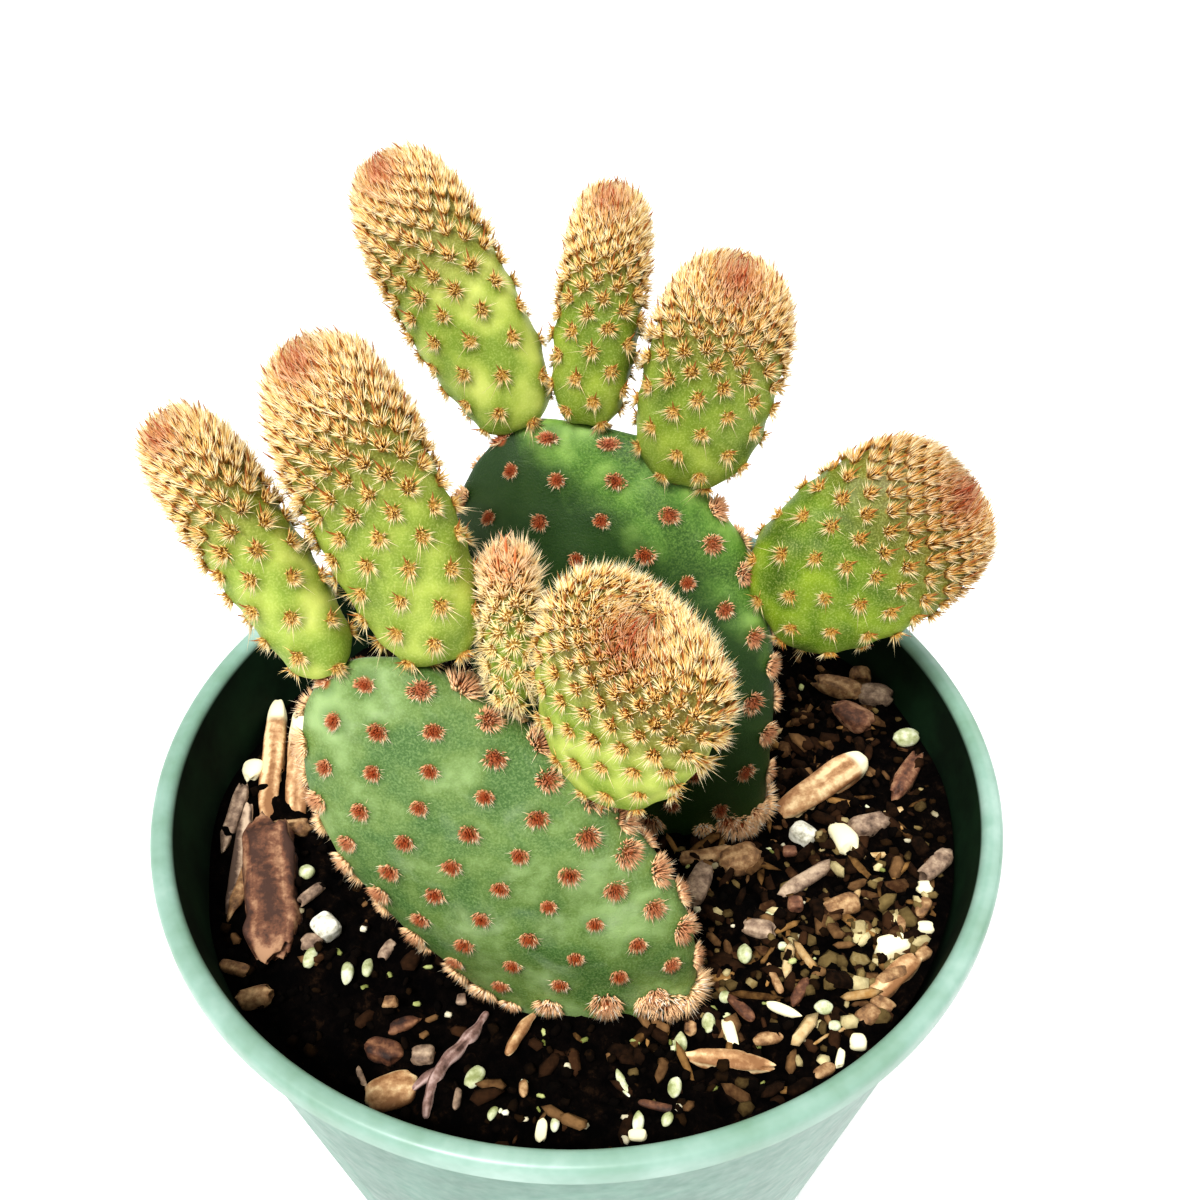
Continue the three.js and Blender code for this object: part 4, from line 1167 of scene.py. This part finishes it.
def scattered(name, slot_name, material, count, lengths, widths, depths, tones, heap, seed):
    """One piece of many small lumps, each an ellipsoid of 2 rings of 6 points between two poles
    with every point pulled in or out at random. Sizes are ranges: lengths in millimetres, widths
    and depths as shares of them. heap is where they lie thickest and how far they reach there."""
    draw = np.random.default_rng(seed)
    x, y = draw.uniform(-MOUTH, MOUTH, (2, 60 * count))
    clear = np.hypot(x, y) < MOUTH - 1.5
    for strand_x, strand_y in STRANDS:
        clear &= np.hypot(x - strand_x, y - strand_y) > 2.2
    for pad_name in OLD_PADS:
        clear &= ~inside_pad(PADS[pad_name], np.stack([x, y, soil_height(x, y)], axis=-1), 0.6)
    for at, size, turn, *_ in CHIPS.values():
        yaw = math.radians(turn)
        run, side = (x - at[0]), (y - at[1])
        run, side = run * math.cos(yaw) + side * math.sin(yaw), side * math.cos(yaw) - run * math.sin(yaw)
        clear &= (np.abs(run) > size[0] / 2) | (np.abs(side) > size[1] / 2)
    share = np.exp(-(((x - heap[0]) ** 2 + (y - heap[1]) ** 2) / heap[2] ** 2))
    clear &= draw.uniform(size=len(x)) < share
    picked = np.flatnonzero(clear)[:count]
    x, y, count = x[picked], y[picked], len(picked)
    length = draw.uniform(*lengths, count)
    size = np.stack([length, length * draw.uniform(*widths, count), length * draw.uniform(*depths, count)])
    size = size.T[:, None] / 2
    t = np.array([1.0, math.pi - 1.0])[:, None]
    u = np.arange(6) * math.pi / 3
    ring = np.stack(np.broadcast_arrays(-np.cos(t), np.sin(t) * np.cos(u), np.sin(t) * np.sin(u)), axis=-1)
    points, faces = closed_grid(ring, [-1, 0, 0], [1, 0, 0])
    points = points * size * draw.uniform(0.7, 1.15, (count, len(points), 1))
    yaw, nod = draw.uniform(0, 2 * math.pi, (count, 1)), 0.2 * draw.normal(size=(count, 1))
    px, py, pz = np.moveaxis(points, -1, 0)
    px, pz = px * np.cos(nod) - pz * np.sin(nod), px * np.sin(nod) + pz * np.cos(nod)
    px, py = px * np.cos(yaw) - py * np.sin(yaw), px * np.sin(yaw) + py * np.cos(yaw)
    level = soil_height(x, y) + soil_relief(x, y) + 0.35 * size[:, 0, 2]
    points = np.stack([px + x[:, None], py + y[:, None], pz + level[:, None]], axis=-1)
    starts = points.shape[1] * np.arange(count)[:, None, None]
    groups = [(group[None] + starts).reshape(-1, group.shape[1]) for group in faces]
    tone = np.repeat(tones[0] + (tones[1] - tones[0]) * draw.uniform(size=count) ** 1.7, points.shape[1])
    piece = mesh_piece(name, points, groups, material, tone=tone)
    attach(piece, "root")


def litter_material(name, dark, middle, pale):
    """Small bits of one kind: each has its own shade by its tone, and all are stained in blotches
    of 0.8 mm."""
    material, tree, shader = new_material(name, Roughness=0.95, IOR=1.45, Specular_IOR_Level=0.1)
    place = add_node(tree, "TexCoord").outputs["Object"]
    stains = add_node(tree, "TexNoise", {"Vector": place, "Scale": 1 / (0.8 * MM), "Detail": 4.0})
    tone = add_node(tree, "Attribute", attribute_name="tone")
    shade = add_node(tree, "Math", {0: stains, 1: 0.4, 2: tone}, operation="MULTIPLY_ADD")
    colour = add_node(tree, "ValToRGB", {0: shade}, stops=[(0.15, dark), (0.55, middle), (0.95, pale)])
    tree.links.new(colour.outputs[0], shader.inputs["Base Color"])
    bump = add_node(tree, "Bump", {"Height": stains, "Strength": 0.6, "Distance": 0.2 * MM})
    tree.links.new(bump.outputs[0], shader.inputs["Normal"])
    return material


peat_crumbs = litter_material("peat_crumbs", "#040201", "#120a05", "#33220f")
bark_flakes = litter_material("fine_bark", "#120a05", "#402a1a", "#94724c")
splinters = litter_material("fine_wood_splinters", "#33200f", "#a07a4a", "#f2deb0")
grit = litter_material("tan_grit", "#3a2c18", "#7c6a44", "#d2c496")
pale_grit = litter_material("pale_grit", "#80765a", "#dcd4b8", "#fbf8ea")
husks = litter_material("fine_seed_husks", "#6a7038", "#b4ba7c", "#edeed4")
# Each row gives the inputs of scattered in order
FINE_BITS = [
    ("fine_peat_crumbs", "potting_mix", peat_crumbs, 1000,
     (0.6, 2.0), (0.6, 1), (0.5, 0.9), (0, 0.6), (0, 0, 200), 401),
    ("fine_bark_flakes", "bark", bark_flakes, 620,
     (1.2, 4.2), (0.35, 0.7), (0.2, 0.45), (0, 0.6), (26, -6, 32), 402),
    ("fine_splinters", "split_wood", splinters, 120,
     (2, 6), (0.16, 0.3), (0.1, 0.2), (0, 0.55), (28, -10, 28), 403),
    ("fine_tan_grit", "split_wood", grit, 150,
     (0.8, 2.0), (0.6, 1), (0.5, 0.9), (0, 0.6), (30, -16, 22), 406),
    ("heaped_tan_grit", "split_wood", grit, 110,
     (1.4, 3.2), (0.45, 0.9), (0.5, 0.8), (0.1, 0.8), (37, -24, 8), 407),
    ("fine_pale_grit", "perlite", pale_grit, 45,
     (0.7, 1.4), (0.7, 1), (0.6, 0.9), (0, 0.6), (20, -24, 30), 404),
    ("fine_seed_husks", "potting_mix", husks, 60,
     (0.8, 1.5), (0.5, 0.8), (0.4, 0.7), (0, 0.7), (12, -28, 30), 405),
]
for row in FINE_BITS:
    scattered(*row)
